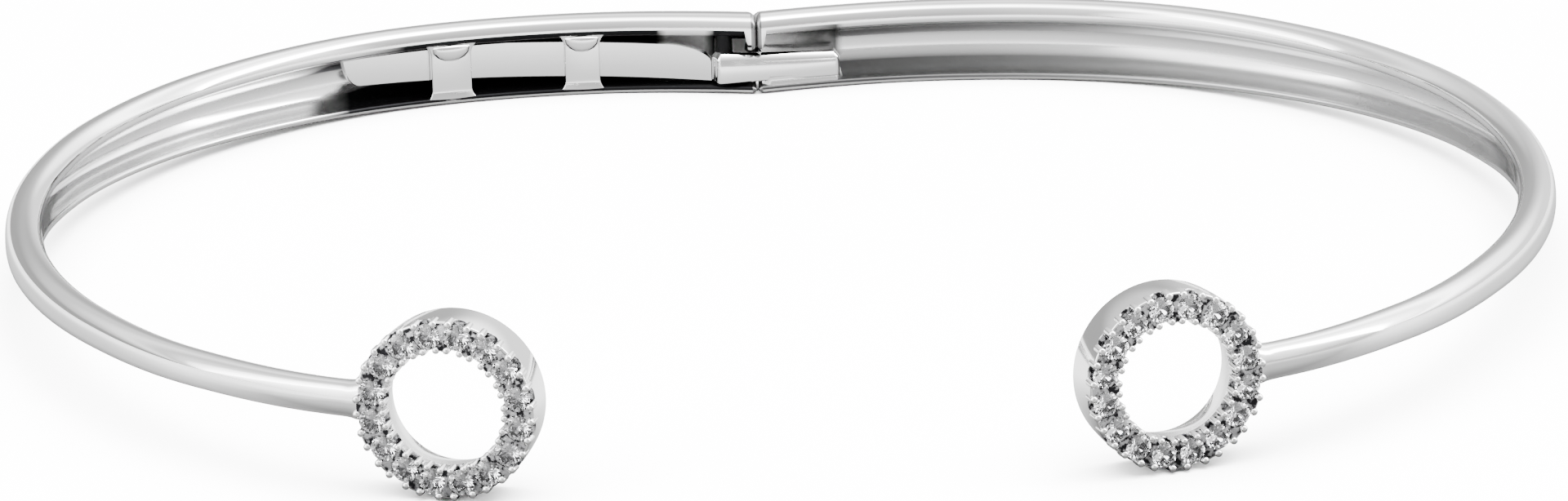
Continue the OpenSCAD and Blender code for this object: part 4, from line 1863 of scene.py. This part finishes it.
    def world(self) -> None:
        """Makes the soft studio surround: bright above, darker towards the horizon."""
        world = bpy.data.worlds.new("studio")
        bpy.context.scene.world = world
        world.use_nodes = True
        nodes = Nodes(world.node_tree)
        direction = nodes.place("Generated")
        x, y, height = nodes.parts(direction)
        turned = nodes.maths("ARCTAN2", height, y) / math.pi
        around = nodes.ramp(turned, [(place, level / self.peak) for place, level in self.arch])
        across = x * 0.5 + 0.5
        back, front = (
            nodes.ramp(across, [(place, factor / self.contrast) for place, factor in stops])
            for stops in (self.back_sides, self.front_sides)
        )
        sides = nodes.mix(((turned - self.front_start) / self.front_blend).clamped, back, front)
        spots = nodes.add("ShaderNodeTexVoronoi", {"Scale": self.clutter, "Vector": direction}, feature="F1")
        cell = nodes.add("ShaderNodeSeparateColor", {0: nodes.out(spots, "Color")})
        sparkle = nodes.ramp(nodes.out(cell), self.sparkle)
        through = nodes.out(nodes.add("ShaderNodeLightPath"), "Is Transmission Ray")
        final = nodes.mix(through * self.sparkle_share, around * sides, sparkle)
        background = world.node_tree.nodes["Background"]
        nodes.feed(background, {"Color": final, "Strength": self.peak * self.contrast})

    def lights(self) -> None:
        """Makes the large soft lamps above the bangle."""
        for name, place, size, power in self.lamps:
            data = bpy.data.lights.new(name, "AREA")
            data.shape = "SQUARE"
            data.size = size
            data.energy = power
            lamp = bpy.data.objects.new(name, data)
            lamp.location = place
            lamp.visible_glossy = False
            lamp.rotation_euler = (-Vector(place)).to_track_quat("-Z", "Y").to_euler()
            bpy.context.scene.collection.objects.link(lamp)


@dataclass(frozen=True)
class Bangle:
    """The whole bangle: builds every piece in order and dresses what stays from the frame.

    Args:
        lie: How the bangle lies.
        section: The arms' cross-section and plan.
        ring: The front ring.
        hinge: The joint.
        bridges: The two bridges over the leaf.
        leaf: The leaf spring.
    """

    lie: Lie
    section: Section = Section()
    ring: FrontRing = FrontRing()
    hinge: Hinge = Hinge()
    bridges: tuple[Bridge, ...] = (Bridge("near_bridge", 7.3, 1.45), Bridge("far_bridge", 12.8, 1.7))
    leaf: Leaf = Leaf()

    def build(self) -> None:
        """Makes the finishes and builds the pieces in order."""
        bench = Bench(self.lie)
        group = polish_group()
        plate, spring, steel_shade, seat, crevice_shade, rim, stone = (
            finish.build(group) for finish in (PLATE, SPRING, STEEL_SHADE, SEAT_SHADE, CREVICE_SHADE, RIM_SHADE, ClearStone())
        )
        channel = ChannelShadeMetal().build(group, self.lie)
        for side in Side:
            Arm(side, self.section, self.ring, self.hinge).build(bench, [plate, channel, seat, crevice_shade])
        for bridge in self.bridges:
            bridge.build(bench, self.section, [plate, channel, rim])
        self.leaf.build(bench, self.section, self.hinge, self.bridges[0], spring)
        for name, make in (("tongue_plate", self.hinge.tongue), ("tongue_solder", self.hinge.solder)):
            piece = bench.make(name, make(self.section), Side.RIGHT, [plate])
            bench.finish(piece, Side.RIGHT, "polished_metal", 40)
        for name, node in frame["nodes"].items():
            if "_stone_" in name:
                self.dress(node, stone)
            elif name == "hinge_pin":
                # The pin takes near-black metal as painted shade.
                self.dress(node, steel_shade)

    @staticmethod
    def dress(node: bpy.types.Object, material: bpy.types.Material) -> None:
        """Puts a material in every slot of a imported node, which stays as it is.

        Args:
            node: The node.
            material: Its finish.
        """
        if not node.material_slots:
            node.data.materials.append(material)
        for slot in node.material_slots:
            slot.material = material
        LOG.info("%s: dressed as packed", node.name)


def main() -> None:
    """Builds the studio and the bangle."""
    logging.basicConfig(level=logging.INFO, format="%(name)s: %(message)s")
    lie = Lie.from_joint(frame["joints"][0])
    studio = Studio()
    studio.camera(lie)
    studio.floor()
    studio.world()
    studio.lights()
    Bangle(lie).build()


if __name__ == "__main__":
    main()
